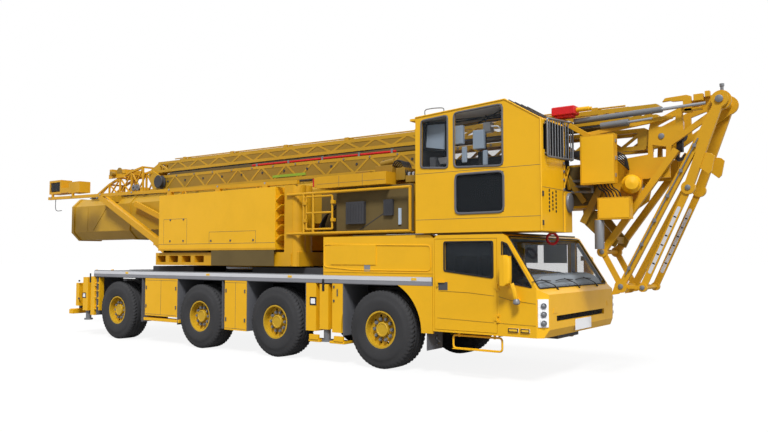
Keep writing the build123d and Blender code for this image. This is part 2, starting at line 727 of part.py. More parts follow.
# ---------------------------------------------------------------- operator's cab
opcab_left = -580
opcab_side = ((opcab_rear, opcab_bottom), (opcab_front, opcab_bottom), (opcab_front, 3670),
              (2220, 4000), (opcab_rear, 3910))
opcab_windows = (
    ((790, 3125), (1270, 3090), (1270, 3880), (800, 3850)),
    ((1380, 3090), (2180, 3060), (2180, 3940), (1380, 3900)),
    ((1400, 2400), (2190, 2400), (2190, 2980), (1400, 2980)),
)
with BuildPart() as operator_cab:
    plate(opcab_side, opcab_right, opcab_left)
    plate(opcab_side, opcab_right + opcab_wall, opcab_left - opcab_wall, mode=Mode.SUBTRACT, grow=-opcab_wall)
    for window in opcab_windows:
        plate(window, opcab_right - 10, opcab_right + opcab_wall + 10, mode=Mode.SUBTRACT)
    block(opcab_front - 60, opcab_front + 20, -1290, -700, 3250, 3610, mode=Mode.SUBTRACT)
    # window beside the mast, and the sloping front of the roof
    plate(((820, 3320), (2180, 3320), (2180, 3900), (820, 3850)), opcab_left - 60, opcab_left + 10,
          mode=Mode.SUBTRACT)
    plate(((2320, 3900), (2660, 3690), (2720, 3780), (2380, 3990)), opcab_right + 120, opcab_left - 120,
          mode=Mode.SUBTRACT)
    # machinery bay across the front, below the window
    block(opcab_front - 340, opcab_front, opcab_left, -300, opcab_bottom, 2720)
save(operator_cab, "operator_cab")

with BuildPart() as operator_glass:
    for window in opcab_windows:
        plate(window, opcab_right + 12, opcab_right + 12 + glass_thick, grow=-fit_gap)
    plate(((820, 3320), (2180, 3320), (2180, 3900), (820, 3850)), opcab_left - 20, opcab_left - 20 + glass_thick,
          grow=-fit_gap)
save(operator_glass, "operator_glass")

with BuildPart() as operator_interior:
    block(900, 1350, -1200, -800, 2600, 2740)
    plate(((860, 2600), (980, 2600), (930, 3300), (840, 3300)), -1200, -800)
    block(1000, 1250, -1150, -850, opcab_bottom + opcab_wall, 2600)
    block(1850, 2150, -1250, -750, opcab_bottom + opcab_wall, 3050)
save(operator_interior, "operator_interior")

# ---------------------------------------------------------------- inner mast and mast head
head_plate_inner = 200
head_plate_outer = 250
with BuildPart() as inner_mast:
    block(inner_rear, 3300, -inner_half, inner_half, inner_bottom, inner_top)
    block(inner_rear - 10, 3260, 16 - inner_half, inner_half - 16, inner_bottom + 16, inner_top - 16,
          mode=Mode.SUBTRACT)
    for low, high in ((head_plate_inner, head_plate_outer), (-head_plate_outer, -head_plate_inner)):
        # side plates from the mast's end up to the head pin
        plate(((3200, 2480), (3480, 2420), (3720, 2580), (3780, 2860), (4150, 2860), (4150, 3150),
               (4180, 3300), (4900, 3760), (head_pin[0], 3850 + head_nose * 0.7), (4500, 3900),
               (3900, 3640), (3880, 3560), (3860, 3200), (3200, 3130)), low, high)
        pin(head_pin[0], head_pin[1], low, high, head_nose)
        # openings that leave bars round the jib's pin and up to the nose
        plate(((3925, 3150), (4100, 3150), (4110, 3290), (3925, 3330)), low - 5, high + 5, mode=Mode.SUBTRACT)
        plate(((4000, 3575), (4240, 3575), (4240, 3705), (4000, 3600)), low - 5, high + 5, mode=Mode.SUBTRACT)
        plate(((4340, 3490), (4650, 3690), (4570, 3810), (4330, 3735)), low - 5, high + 5, mode=Mode.SUBTRACT)
    block(3250, 3330, -head_plate_outer, head_plate_outer, inner_bottom, 3130)
    pin(head_pin[0], head_pin[1], -340, 340, 55)
    pin(jib_root[0], jib_root[1], -head_plate_outer, head_plate_outer, jib_pin_radius)
    # winch under the head
    pin(3560, 2700, -head_plate_inner - 10, head_plate_inner + 10, 150)
    # gear boxes hung on the mast head's right flank
    block(3020, 3515, -620, -500, 2790, 3490)
    block(3060, 3300, -510, -inner_half + 10, 2900, 3110)
    block(3240, 3700, -560, -440, 2290, 2600)
    block(3240, 3440, -450, -head_plate_inner, 2440, 2590)
    post(3240, -500, 1880, 2300, 60)
save(inner_mast, "inner_mast")

# ---------------------------------------------------------------- jib
chord = 60
brace = 40
cross_bar = 40


def loose_bar(start, end, y, width, depth):
    """Flat bar between two (station, height) points, centred on y and not yet joined to a piece."""
    run = end[0] - start[0]
    rise = end[1] - start[1]
    middle = (at((start[0] + end[0]) / 2), y, (start[1] + end[1]) / 2)
    bar = Box(hypot(run, rise), width, depth, mode=Mode.PRIVATE)
    return bar.moved(Location(middle, (0, -degrees(atan2(rise, run)), 0)))


def truss(s0, z0, s1, z1, depth0, depth1, half, bays):
    """Lattice girder: two top chords, two bottom chords, side zigzags and cross bars."""
    members = []
    for side in (-1, 1):
        chord_y = side * (half - chord / 2)
        members.append(loose_bar((s0, z0), (s1, z1), chord_y, chord, chord))
        members.append(loose_bar((s0, z0 - depth0), (s1, z1 - depth1), chord_y, chord, chord))
    for bay in range(bays + 1):
        share = bay / bays
        station = s0 + (s1 - s0) * share
        high = z0 + (z1 - z0) * share
        low = high - (depth0 + (depth1 - depth0) * share)
        for level in (high, low):
            ends = ((station - cross_bar / 2, level), (station + cross_bar / 2, level))
            members.append(loose_bar(*ends, 0, 2 * half, cross_bar))
        if bay < bays:
            ahead = (bay + 1) / bays
            next_station = s0 + (s1 - s0) * ahead
            next_high = z0 + (z1 - z0) * ahead
            next_low = next_high - (depth0 + (depth1 - depth0) * ahead)
            middle = ((station + next_station) / 2, (low + next_low) / 2)
            for side in (-1, 1):
                brace_y = side * (half - brace / 2)
                members.append(loose_bar((station, high), middle, brace_y, brace, brace - 4))
                members.append(loose_bar(middle, (next_station, next_high), brace_y, brace, brace - 4))
    add(members)


with BuildPart() as inner_jib:
    truss(-7450, 3620, 3800, 3560, 310, 250, jib_half, 16)
    for low, high in ((jib_half - chord, jib_half), (-jib_half, chord - jib_half)):
        # knee plates at the rear
        plate(((-7750, 3700), (-7600, 3800), (-7300, 3640), (-7300, 3320), (-7550, 3320)), low, high)
    for low, high in ((120, jib_half), (-jib_half, -120)):
        plate(((3700, 3300), (4050, 3370), (4120, 3440), (4050, 3510), (3700, 3590)), low, high)
        pin(jib_root[0], jib_root[1], low - 5, high + 5, jib_pin_radius + pin_gap, mode=Mode.SUBTRACT)
    block(3700, 3800, -jib_half, jib_half, 3310, 3580)
    pin(jib_knee[0], jib_knee[1], -jib_half - 30, jib_half + 30, jib_pin_radius)
save(inner_jib, "inner_jib")

outer_half = 122
with BuildPart() as outer_jib:
    truss(-7450, 3960, 3950, 3900, 190, 150, outer_half, 16)
    for low, high in ((outer_half - 56, outer_half), (-outer_half, 56 - outer_half)):
        plate(((-7740, 3700), (-7740, 3830), (-7400, 3985), (-7400, 3745), (-7560, 3700)), low, high)
        pin(jib_knee[0], jib_knee[1], low - 5, high + 5, jib_pin_radius + pin_gap, mode=Mode.SUBTRACT)
save(outer_jib, "outer_jib")

# ---------------------------------------------------------------- guying frame at the mast head
frame_near = 262
frame_far = 330
with BuildPart() as guy_frame:
    for side in (-1, 1):
        low, high = sorted((side * frame_near, side * frame_far))
        middle = (low + high) / 2
        pin(head_pin[0], head_pin[1], low, high, 105)
        strut(head_pin, (4400, 2700), middle, frame_far - frame_near, 120)
        strut((4740, 3700), (3470, 1350), middle, frame_far - frame_near, 90)
        strut((4260, 3230), (3210, 1840), middle, frame_far - frame_near, 90)
        strut((4400, 2700), (3770, 1340), middle, 30, 90)
        strut((3210, 1840), (3470, 1350), middle, 30, 80)
        pin(4400, 2700, low, high, 90)
        pin(3210, 1840, low, high, 75)
        pin(3470, 1350, low, high, 90)
        pin(3770, 1340, low, high, 60)
        plate(((3330, 1225), (3420, 1240), (3540, 1320), (3520, 1440), (3400, 1400)), low, high)
        pin(head_pin[0], head_pin[1], low - 5, high + 5, 55 + pin_gap, mode=Mode.SUBTRACT)
    for station, height in ((3470, 1350), (3210, 1840), (3770, 1340)):
        pin(station, height, -frame_far, frame_far, 32)
    strut((3470, 1350), (3770, 1340), frame_near + 20, 40, 50)
    strut((3470, 1350), (3770, 1340), -frame_near - 20, 40, 50)
save(guy_frame, "guy_frame")

# ---------------------------------------------------------------- trolley and parked hook block
with BuildPart() as trolley:
    block(2700, 3000, -215, 215, 3250, 3272)
    for low, high in ((jib_half + fit_gap, 215), (-215, -jib_half - fit_gap)):
        block(2700, 3000, low, high, 3250, 3345)
save(trolley, "trolley")

with BuildPart() as hook_block:
    # sheaves and shank, pinned between the mast head's plates
    pin(4230, 3460, -60, 60, 90)
    block(4190, 4270, -40, 40, 3230, 3460)
    pin(4230, 3460, fit_gap - head_plate_inner, head_plate_inner - fit_gap, 30)
    plate(((4170, 3240), (4150, 3160), (4200, 3100), (4290, 3120), (4320, 3190), (4290, 3200),
           (4255, 3150), (4210, 3160), (4210, 3240)), -22, 22)
save(hook_block, "hook_block")
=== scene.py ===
"""Dressing of a four-axle mobile tower crane, folded for the road.

The CAD frame gives every structural piece; this script paints them and adds the lighter pieces:
tread, seals, seams, latches, grilles, hoses, lamps and the machinery's small parts.
Stations are metres forward of the first axle, as on the vehicle's drawing.
"""
import json
import logging
from dataclasses import dataclass, field
from enum import Enum
from math import pi, radians, tau

import bmesh
import bpy
import numpy as np
from mathutils import Matrix, Vector


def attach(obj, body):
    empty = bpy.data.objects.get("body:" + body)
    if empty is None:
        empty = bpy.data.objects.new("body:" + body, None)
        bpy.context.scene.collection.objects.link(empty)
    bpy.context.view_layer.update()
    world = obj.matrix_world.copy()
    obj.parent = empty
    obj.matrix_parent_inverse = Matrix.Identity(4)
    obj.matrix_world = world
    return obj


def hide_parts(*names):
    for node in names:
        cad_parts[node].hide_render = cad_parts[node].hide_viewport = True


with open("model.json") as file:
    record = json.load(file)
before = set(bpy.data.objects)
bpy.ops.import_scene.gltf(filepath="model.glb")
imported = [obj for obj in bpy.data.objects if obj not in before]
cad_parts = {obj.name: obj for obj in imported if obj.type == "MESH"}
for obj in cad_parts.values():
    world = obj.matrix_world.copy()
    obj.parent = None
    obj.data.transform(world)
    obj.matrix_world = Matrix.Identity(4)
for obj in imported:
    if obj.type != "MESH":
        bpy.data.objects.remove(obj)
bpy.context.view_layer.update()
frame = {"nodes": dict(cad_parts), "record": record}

log = logging.getLogger("crane")
logging.basicConfig(level=logging.INFO, format="%(message)s")

Array = np.ndarray
AXLE_ONE_X = 2.775               # row X of the first axle
AXLE_STATIONS = (0.0, -2.33, -4.38, -7.125)
HALF_WIDTH = 1.375               # over the tyres and the deck


def at(station: float) -> float:
    """Row X of a station."""
    return AXLE_ONE_X + station


# ---------------- finishes
def linear(red: int, green: int, blue: int) -> tuple[float, float, float, float]:
    """Linear colour of an sRGB triple.

    Args:
        red, green, blue: 0 to 255.

    Returns:
        RGBA in linear light: c/12.92 below 0.04045, else ((c + 0.055)/1.055)^2.4.
    """
    srgb = np.array([red, green, blue]) / 255
    value = np.where(srgb <= 0.04045, srgb / 12.92, ((srgb + 0.055) / 1.055) ** 2.4)
    return (float(value[0]), float(value[1]), float(value[2]), 1.0)


def set_inputs(node: bpy.types.Node, values: dict[str, float | tuple]) -> bpy.types.Node:
    """Set inputs of a shader node.

    Args:
        node: the node.
        values: what each named input holds.

    Returns:
        The node.
    """
    for name, value in values.items():
        node.inputs[name].default_value = value
    return node


class Tone(Enum):
    """The machine's colours, as sRGB triples."""

    BODY = (233, 176, 18)
    FRAME = (208, 154, 20)
    RIM = (196, 156, 34)
    # SHADED: the yellow darkened for parts in shade, painted shade.
    SHADED = (150, 116, 32)
    # JIB and TUBE: the frame yellow darkened, painted shade on the jibs and the mast tube.
    JIB = (190, 146, 30)
    TUBE = (186, 144, 32)
    TYRE = (52, 52, 54)
    MUDGUARD = (98, 99, 104)
    DECK = (128, 130, 134)
    STRIPE = (206, 207, 212)
    BAND = (132, 133, 139)
    CHASSIS = (58, 58, 62)
    STEEL = (168, 170, 175)
    CYLINDER = (120, 122, 126)
    TRIM = (96, 98, 103)
    SEAL = (74, 76, 80)
    BLACK = (28, 28, 30)
    WHITE = (236, 237, 240)
    RED = (200, 26, 34)
    GREEN = (140, 170, 50)
    AMBER = (236, 186, 44)
    # RECESS: dark brown for gaps, the bay and undersides, painted shade.
    RECESS = (98, 82, 46)
    LINING = (172, 188, 206)
    DASH = (128, 136, 144)


@dataclass(frozen=True)
class Finish:
    """A paint, rubber or metal: one colour with fine variation and a fine bump.

    Attributes:
        name: the material's name.
        tone: its colour.
        specular: strength of the mirror-like part.
        roughness: mean roughness.
        metallic: 0 for paint and rubber, 1 for bare metal.
        variation: how far the colour drifts over the surface, 0 to 1.
        grain: size of the fine bump's cells, per metre.
        bump: strength of the fine bump.
        coat: weight of a clear coat.
    """

    name: str
    tone: Tone
    specular: float = 0.35
    roughness: float = 0.4
    metallic: float = 0.0
    variation: float = 0.1
    grain: float = 60.0
    bump: float = 0.04
    coat: float = 0.0

    def material(self) -> bpy.types.Material:
        """The finish's material, made once.

        Returns:
            A node material on Object coordinates: broad noise mixes the tone with a darker one
            and drives roughness; fine noise drives the bump.
        """
        found = bpy.data.materials.get(self.name)
        if found:
            return found
        made = bpy.data.materials.new(self.name)
        made.use_nodes = True
        nodes = made.node_tree.nodes
        links = made.node_tree.links
        shader = set_inputs(nodes["Principled BSDF"], {
            "Metallic": self.metallic, "Coat Weight": self.coat, "Specular IOR Level": self.specular})
        place = nodes.new("ShaderNodeTexCoord")
        broad = set_inputs(nodes.new("ShaderNodeTexNoise"), {"Scale": 1.7, "Detail": 5.0, "Roughness": 0.62})
        fine = set_inputs(nodes.new("ShaderNodeTexNoise"), {"Scale": self.grain, "Detail": 3.0})
        mix = nodes.new("ShaderNodeMix")
        mix.data_type = "RGBA"
        colour = linear(*self.tone.value)
        darker = 1 - 0.55 * self.variation * 2
        set_inputs(mix, {"A": colour, "B": (*(part * darker for part in colour[:3]), 1)})
        ramp = set_inputs(nodes.new("ShaderNodeMapRange"), {"From Min": 0.42, "From Max": 0.78})
        rough = set_inputs(nodes.new("ShaderNodeMapRange"), {
            "To Min": max(self.roughness - 0.06, 0.02), "To Max": min(self.roughness + 0.12, 1.0)})
        bump = set_inputs(nodes.new("ShaderNodeBump"), {"Strength": self.bump, "Distance": 0.004})
        links.new(place.outputs["Object"], broad.inputs["Vector"])
        links.new(place.outputs["Object"], fine.inputs["Vector"])
        links.new(broad.outputs["Fac"], ramp.inputs["Value"])
        links.new(ramp.outputs["Result"], mix.inputs["Factor"])
        links.new(mix.outputs["Result"], shader.inputs["Base Color"])
        links.new(broad.outputs["Fac"], rough.inputs["Value"])
        links.new(rough.outputs["Result"], shader.inputs["Roughness"])
        links.new(fine.outputs["Fac"], bump.inputs["Height"])
        links.new(bump.outputs["Normal"], shader.inputs["Normal"])
        return made


@dataclass(frozen=True)
class Glazing:
    """Tinted cab glass.

    Attributes:
        name: the material's name.
        tint: linear colour of what passes through.
        alpha: how much of it is seen.
    """

    name: str
    tint: tuple[float, float, float]
    alpha: float

    def material(self) -> bpy.types.Material:
        """The glazing's material, made once: a smooth dielectric, thinned by its alpha.

        Returns:
            The material.
        """
        found = bpy.data.materials.get(self.name)
        if found:
            return found
        made = bpy.data.materials.new(self.name)
        made.use_nodes = True
        nodes = made.node_tree.nodes
        links = made.node_tree.links
        shader = set_inputs(nodes["Principled BSDF"], {
            "Base Color": (*self.tint, 1), "IOR": 1.5, "Specular IOR Level": 0.25, "Alpha": self.alpha})
        place = nodes.new("ShaderNodeTexCoord")
        haze = set_inputs(nodes.new("ShaderNodeTexNoise"), {"Scale": 3.0})
        rough = set_inputs(nodes.new("ShaderNodeMapRange"), {"To Min": 0.02, "To Max": 0.09})
        links.new(place.outputs["Object"], haze.inputs["Vector"])
        links.new(haze.outputs["Fac"], rough.inputs["Value"])
        links.new(rough.outputs["Result"], shader.inputs["Roughness"])
        return made


BODY_PAINT = Finish("body_yellow_paint", Tone.BODY, roughness=0.42, coat=0.08, variation=0.07, bump=0.02)
# The frame yellow is darker than the body yellow: partly its own tone, partly painted shade on the frame
# parts.
FRAME_PAINT = Finish("frame_yellow_paint", Tone.FRAME, roughness=0.45, variation=0.14, bump=0.05)
# The jibs' yellow: the frame yellow darkened, painted shade over the whole jib.
JIB_SHADE_PAINT = Finish("jib_shade_yellow", Tone.JIB, roughness=0.45, variation=0.16, bump=0.05)
# The mast tube's yellow: darker than the frame yellow, painted shade from the rails and jibs above.
TUBE_SHADE_PAINT = Finish("mast_tube_shade_yellow", Tone.TUBE, roughness=0.45, variation=0.12, bump=0.04)
# The rim yellow is darker and greyer than the body yellow: partly its own tone, partly painted shade in the
# wheel's dish.
RIM_PAINT = Finish("rim_yellow_paint", Tone.RIM, roughness=0.45, variation=0.16)
RUBBER = Finish("tyre_rubber", Tone.TYRE, roughness=0.78, variation=0.2, grain=220, bump=0.12)
MUDGUARD = Finish("mudguard_plastic", Tone.MUDGUARD, roughness=0.7, variation=0.15, grain=160, bump=0.08)
DECK_PAINT = Finish("deck_grey_paint", Tone.DECK, roughness=0.55, variation=0.2, grain=130, bump=0.2)
STRIPE = Finish("stripe_light_grey", Tone.STRIPE, roughness=0.4, variation=0.06)
BAND = Finish("band_grey", Tone.BAND, roughness=0.5, variation=0.1)
CHASSIS_PAINT = Finish("chassis_dark_paint", Tone.CHASSIS, roughness=0.6, variation=0.25, bump=0.1)
STEEL = Finish("polished_steel", Tone.STEEL, roughness=0.28, metallic=1.0, variation=0.1, grain=300)
CYLINDER = Finish("cylinder_grey", Tone.CYLINDER, roughness=0.4, metallic=0.3, variation=0.12)
TRIM = Finish("cab_trim", Tone.TRIM, roughness=0.7, variation=0.12, grain=260, bump=0.1)
SEAL = Finish("rubber_seal", Tone.SEAL, roughness=0.65, variation=0.1, grain=200)
# Black for seals, wipers, hoses and rods, and painted shade in openings such as the vent holes.
BLACK = Finish("black_and_painted_shade", Tone.BLACK, roughness=0.7, variation=0.1)
# Matt black sheets behind windows and in recesses: painted shade.
PAINTED_SHADE_BLACK = Finish("painted_shade_black", Tone.BLACK, specular=0.02, roughness=0.9, variation=0.05)
WHITE = Finish("white_enamel", Tone.WHITE, roughness=0.3, variation=0.04, coat=0.2)
RED = Finish("signal_red", Tone.RED, roughness=0.4, variation=0.1)
GREEN = Finish("belt_green", Tone.GREEN, roughness=0.6, variation=0.1)
DARK_LOCK = Finish("lock_dark", Tone.SEAL, roughness=0.45, variation=0.1)
# Darkened yellow for parts in shade: painted shade on webs, swages, weld beads, valve blocks, drum and
# under-frame.
SHADE_YELLOW_PAINT = Finish("painted_shade_yellow", Tone.SHADED, roughness=0.45, variation=0.12)
SEAT_CLOTH = Finish("seat_cloth", Tone.CHASSIS, roughness=0.9, variation=0.2, grain=400, bump=0.3)
DASH = Finish("dash_grey", Tone.DASH, roughness=0.6, variation=0.06, grain=300)
LINING = Finish("cab_lining_grey", Tone.LINING, roughness=0.75, variation=0.08, grain=240)
AMBER = Finish("lamp_amber", Tone.AMBER, roughness=0.3, variation=0.05, coat=0.3)
# Dark brown laid where shade falls: painted shade in gaps, the bay, under the ballast and between the jibs.
SHADE_BROWN_PAINT = Finish("painted_shade_brown", Tone.RECESS, roughness=0.7, variation=0.2)
CLEAR_GLASS = Glazing("clear_cab_glass", (0.03, 0.04, 0.05), 0.14)
SMOKED_GLASS = Glazing("smoked_glass", (0.01, 0.012, 0.015), 0.55)

SLOT_FINISH = {
    "body_yellow": BODY_PAINT, "frame_yellow": FRAME_PAINT, "rim_yellow": RIM_PAINT, "tyre": RUBBER,
    "mudguard_black": MUDGUARD, "deck_grey": DECK_PAINT, "dark_steel": CHASSIS_PAINT,
    "bright_steel": CYLINDER, "trim_grey": TRIM, "lamp_white": WHITE, "window_glass": CLEAR_GLASS}
# The jibs and the mast tube take darker copies of the yellow: painted shade.
NODE_FINISH = {"inner_jib": JIB_SHADE_PAINT, "outer_jib": JIB_SHADE_PAINT, "mast_tube": TUBE_SHADE_PAINT}


# ---------------- surfaces
@dataclass
class Shell:
    """A mesh under construction, gathered from numpy surfaces.

    Attributes:
        points: vertex arrays, each (n, 3).
        faces: lists of vertex index tuples, already offset.
        count: vertices so far.
    """

    points: list[Array] = field(default_factory=list)
    faces: list[list[int]] = field(default_factory=list)
    count: int = 0

    def add(self, points: Array, faces: Array | list) -> "Shell":
        """Take in a surface.

        Args:
            points: (n, 3) vertices.
            faces: vertex indices, one row per face.

        Returns:
            The shell itself.
        """
        points = np.asarray(points, float).reshape(-1, 3)
        if isinstance(faces, np.ndarray):
            faces = (faces + self.count).tolist()
        else:
            faces = [[index + self.count for index in face] for face in faces]
        self.points.append(points)
        self.faces.extend(faces)
        self.count += len(points)
        return self

    def boxes(self, lows: Array, highs: Array) -> "Shell":
        """Axis-aligned boxes: corner k of a box takes each coordinate from low or high by k's bits.

        Args:
            lows, highs: (n, 3) opposite corners.

        Returns:
            The shell itself.
        """
        lows = np.asarray(lows, float).reshape(-1, 3)
        highs = np.asarray(highs, float).reshape(-1, 3)
        bits = np.array([[k & 1, k >> 1 & 1, k >> 2 & 1] for k in range(8)])
        corners = lows[:, None] * (1 - bits) + highs[:, None] * bits
        quads = np.array([[0, 2, 3, 1], [4, 5, 7, 6], [0, 1, 5, 4], [2, 6, 7, 3], [0, 4, 6, 2], [1, 3, 7, 5]])
        faces = (quads[None] + 8 * np.arange(len(lows))[:, None, None]).reshape(-1, 4)
        return self.add(corners.reshape(-1, 3), faces)

    def slabs(self, rows: Array, mirrored: bool = False) -> "Shell":
        """Boxes from a table of stations, sides and heights.

        Args:
            rows: (n, 6) of rear station, front station, y0, y1, bottom, top.
            mirrored: whether each row has a twin on the other side.

        Returns:
            The shell itself.
        """
        rows = np.asarray(rows, float).reshape(-1, 6)
        if mirrored:
            twins = rows.copy()
            twins[:, 2], twins[:, 3] = -rows[:, 3], -rows[:, 2]
            rows = np.vstack([rows, twins])
        shift = np.array([AXLE_ONE_X, 0, 0])
        return self.boxes(rows[:, [0, 2, 4]] + shift, rows[:, [1, 3, 5]] + shift)

    def beam(self, start: tuple, end: tuple, width: float, depth: float) -> "Shell":
        """Rectangular bar between two places, its width across the vehicle.

        Args:
            start, end: (station, y, height) places.
            width: across the vehicle.
            depth: across the bar in the side view.

        Returns:
            The shell itself.
        """
        a, b = rod(start, end)
        run = (b - a) / np.linalg.norm(b - a)
        across = np.array([0, 1.0, 0])
        up = np.cross(across, run)
        up /= np.linalg.norm(up)
        across = np.cross(run, up)
        square = np.array([[-1, -1], [1, -1], [1, 1], [-1, 1]]) / 2
        ring = across * width * square[:, :1] + up * depth * square[:, 1:]
        points = np.vstack([a + ring, b + ring])
        walls = [[k, (k + 1) % 4, (k + 1) % 4 + 4, k + 4] for k in range(4)]
        return self.add(points, walls + [[3, 2, 1, 0], [4, 5, 6, 7]])

    def frame_of(self, outline: Array, y: float, radius: float, corner: float = 0.03) -> "Shell":
        """Round-sectioned seal along a side outline with rounded corners.

        Args:
            outline: (n, 2) stations and heights.
            y: the seal's middle.
            radius: of the seal's section.
            corner: radius of the rounding.

        Returns:
            The shell itself.
        """
        ring = rounded(np.asarray(outline, float), corner)
        run = np.column_stack([at(0) + ring[:, 0], np.full(len(ring), y), ring[:, 1]])
        return self.tube(run, radius, sides=6, closed=True)

    def both_sides(self, low: tuple, high: tuple) -> "Shell":
        """A box on the left and its twin on the right.

        Args:
            low, high: corners of the left box.

        Returns:
            The shell itself.
        """
        lows = [low, (low[0], -high[1], low[2])]
        highs = [high, (high[0], -low[1], high[2])]
        return self.boxes(lows, highs)

    def tube(self, path: Array, radius: float, sides: int = 8, closed: bool = False) -> "Shell":
        """Round tube: at each path point a circle c + r (n cos a + b sin a), n and b across the run.

        Args:
            path: (n, 3) centre line.
            radius: tube radius.
            sides: facets round the tube.
            closed: whether the path is a ring.

        Returns:
            The shell itself.
        """
        path = np.asarray(path, float)
        if closed:
            run = np.roll(path, -1, 0) - np.roll(path, 1, 0)
        else:
            run = np.gradient(path, axis=0)
        run /= np.linalg.norm(run, axis=1, keepdims=True)
        spread = np.ptp(path, axis=0)
        hint = np.eye(3)[int(np.argmin(spread + 1e-6 * np.arange(3)))]
        across = np.cross(run, hint)
        across /= np.linalg.norm(across, axis=1, keepdims=True)
        up = np.cross(across, run)
        angle = np.linspace(0, tau, sides, endpoint=False)
        ring = across[:, None] * np.cos(angle)[None, :, None] + up[:, None] * np.sin(angle)[None, :, None]
        points = (path[:, None] + radius * ring).reshape(-1, 3)
        faces = loop_faces(len(path), sides, closed).tolist()
        if not closed:
            faces.append(list(range(sides))[::-1])
            faces.append(list(range((len(path) - 1) * sides, len(path) * sides)))
        return self.add(points, faces)

    def lathe(self, profile: Array, centre: tuple, axis: tuple, segments: int = 48) -> "Shell":
        """Surface of revolution: P(u, v) = centre + axis h(v) + r(v) (n cos u + b sin u).

        Args:
            profile: (m, 2) pairs of height along the axis and radius; a closed ring if it meets
                itself, else its ends lie on the axis or are left as rims.
            centre: a point on the axis.
            axis: its direction.
            segments: divisions round the axis.

        Returns:
            The shell itself.
        """
        profile = np.asarray(profile, float)
        axis = np.asarray(axis, float) / np.linalg.norm(axis)
        hint = np.eye(3)[int(np.argmin(np.abs(axis)))]
        across = np.cross(axis, hint)
        across /= np.linalg.norm(across)
        other = np.cross(axis, across)
        angle = np.linspace(0, tau, segments, endpoint=False)
        ring = across * np.cos(angle)[:, None] + other * np.sin(angle)[:, None]
        height, radius = profile[:, 0], np.maximum(profile[:, 1], 1e-5)
        points = (np.asarray(centre) + axis * height[:, None, None] + ring[None] * radius[:, None, None])
        return self.add(points.reshape(-1, 3), loop_faces(len(profile), segments))

    def prism(self, outline: Array, y0: float, y1: float) -> "Shell":
        """Plate cut to a side outline and given thickness across the vehicle.

        Args:
            outline: (n, 2) pairs of station and height.
            y0, y1: its two faces.

        Returns:
            The shell itself.
        """
        outline = np.asarray(outline, float)
        size = len(outline)
        near = np.column_stack([at(0) + outline[:, 0], np.full(size, y0), outline[:, 1]])
        far = near + [0, y1 - y0, 0]
        ring = np.arange(size)
        turn = (ring + 1) % size
        faces = np.column_stack([ring, turn, turn + size, ring + size]).tolist()
        faces.append(ring[::-1].tolist())
        faces.append((ring + size).tolist())
        return self.add(np.vstack([near, far]), faces)

    def bolts(self, centres: Array, axis: int, radius: float, height: float, sides: int = 6) -> "Shell":
        """Short prisms standing on their centres along one row axis.

        Args:
            centres: (n, 3) seats.
            axis: 0, 1 or 2.
            radius: across corners.
            height: signed height along the axis.
            sides: 6 for a hexagon head.

        Returns:
            The shell itself.
        """
        centres = np.asarray(centres, float).reshape(-1, 3)
        angle = np.linspace(0, tau, sides, endpoint=False)
        flat = np.zeros((sides, 3))
        first, second = [k for k in range(3) if k != axis]
        flat[:, first] = radius * np.cos(angle)
        flat[:, second] = radius * np.sin(angle)
        lift = np.zeros(3)
        lift[axis] = height
        base = centres[:, None] + flat
        points = np.concatenate([base, base + lift], 1).reshape(-1, 3)
        ring = np.arange(sides)
        turn = (ring + 1) % sides
        wall = np.column_stack([ring, turn, turn + sides, ring + sides]).tolist()
        one = wall + [ring[::-1].tolist(), (ring + sides).tolist()]
        faces = [[index + 2 * sides * k for index in face] for k in range(len(centres)) for face in one]
        return self.add(points, faces)

    def build(self, name: str, finish: Finish | Glazing, body: str, slot: str = "",
              bevel: float = 0.0, smooth: float = 35.0) -> bpy.types.Object:
        """Put the shell into the scene.

        Args:
            name: the piece's name.
            finish: its finish.
            body: the CAD body it rides on.
            slot: the record's material slot, if any; not used.
            bevel: edge rounding, in metres.
            smooth: faces that meet below this angle are shaded as one.

        Returns:
            The new object.
        """
        mesh = bpy.data.meshes.new(name)
        mesh.from_pydata(np.vstack(self.points).tolist(), [], self.faces)
        mesh.update()
        tidy(mesh)
        if smooth:
            mesh.polygons.foreach_set("use_smooth", np.ones(len(mesh.polygons), bool))
            mesh.set_sharp_from_angle(angle=radians(smooth))
        mesh.materials.append(finish.material())
        piece = bpy.data.objects.new(name, mesh)
        bpy.context.scene.collection.objects.link(piece)
        if bevel:
            rounding = piece.modifiers.new("edge_rounding", "BEVEL")
            rounding.width = bevel
            rounding.segments = 2
            rounding.limit_method = "ANGLE"
            rounding.harden_normals = True
        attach(piece, body)
        log.info("%s: %d faces on %s", name, len(self.faces), body)
        return piece


def tidy(mesh: bpy.types.Mesh) -> None:
    """Turn every face of a mesh outwards, its doubles merged first.

    Args:
        mesh: the mesh to mend in place.
    """
    work = bmesh.new()
    work.from_mesh(mesh)
    bmesh.ops.remove_doubles(work, verts=work.verts, dist=1e-6)
    bmesh.ops.recalc_face_normals(work, faces=work.faces)
    work.to_mesh(mesh)
    work.free()


def grid_faces(rows: int, columns: int) -> Array:
    """Quads of an open grid: face (i, j) joins (i, j), (i, j+1), (i+1, j+1) and (i+1, j).

    Args:
        rows, columns: points each way.

    Returns:
        ((rows - 1) * (columns - 1), 4) vertex indices.
    """
    index = np.arange(rows * columns).reshape(rows, columns)
    return np.stack([index[:-1, :-1], index[:-1, 1:], index[1:, 1:], index[1:, :-1]], -1).reshape(-1, 4)


def loop_faces(rows: int, columns: int, closed: bool = False) -> Array:
    """Quads of a grid whose rows are rings: as grid_faces, with j + 1 taken round the ring.

    Args:
        rows, columns: points each way.
        closed: whether the last row joins the first.

    Returns:
        (n, 4) vertex indices.
    """
    index = np.arange(rows * columns).reshape(rows, columns)
    if closed:
        index = np.vstack([index, index[:1]])
    turn = np.roll(index, -1, 1)
    return np.stack([index[:-1], turn[:-1], turn[1:], index[1:]], -1).reshape(-1, 4)


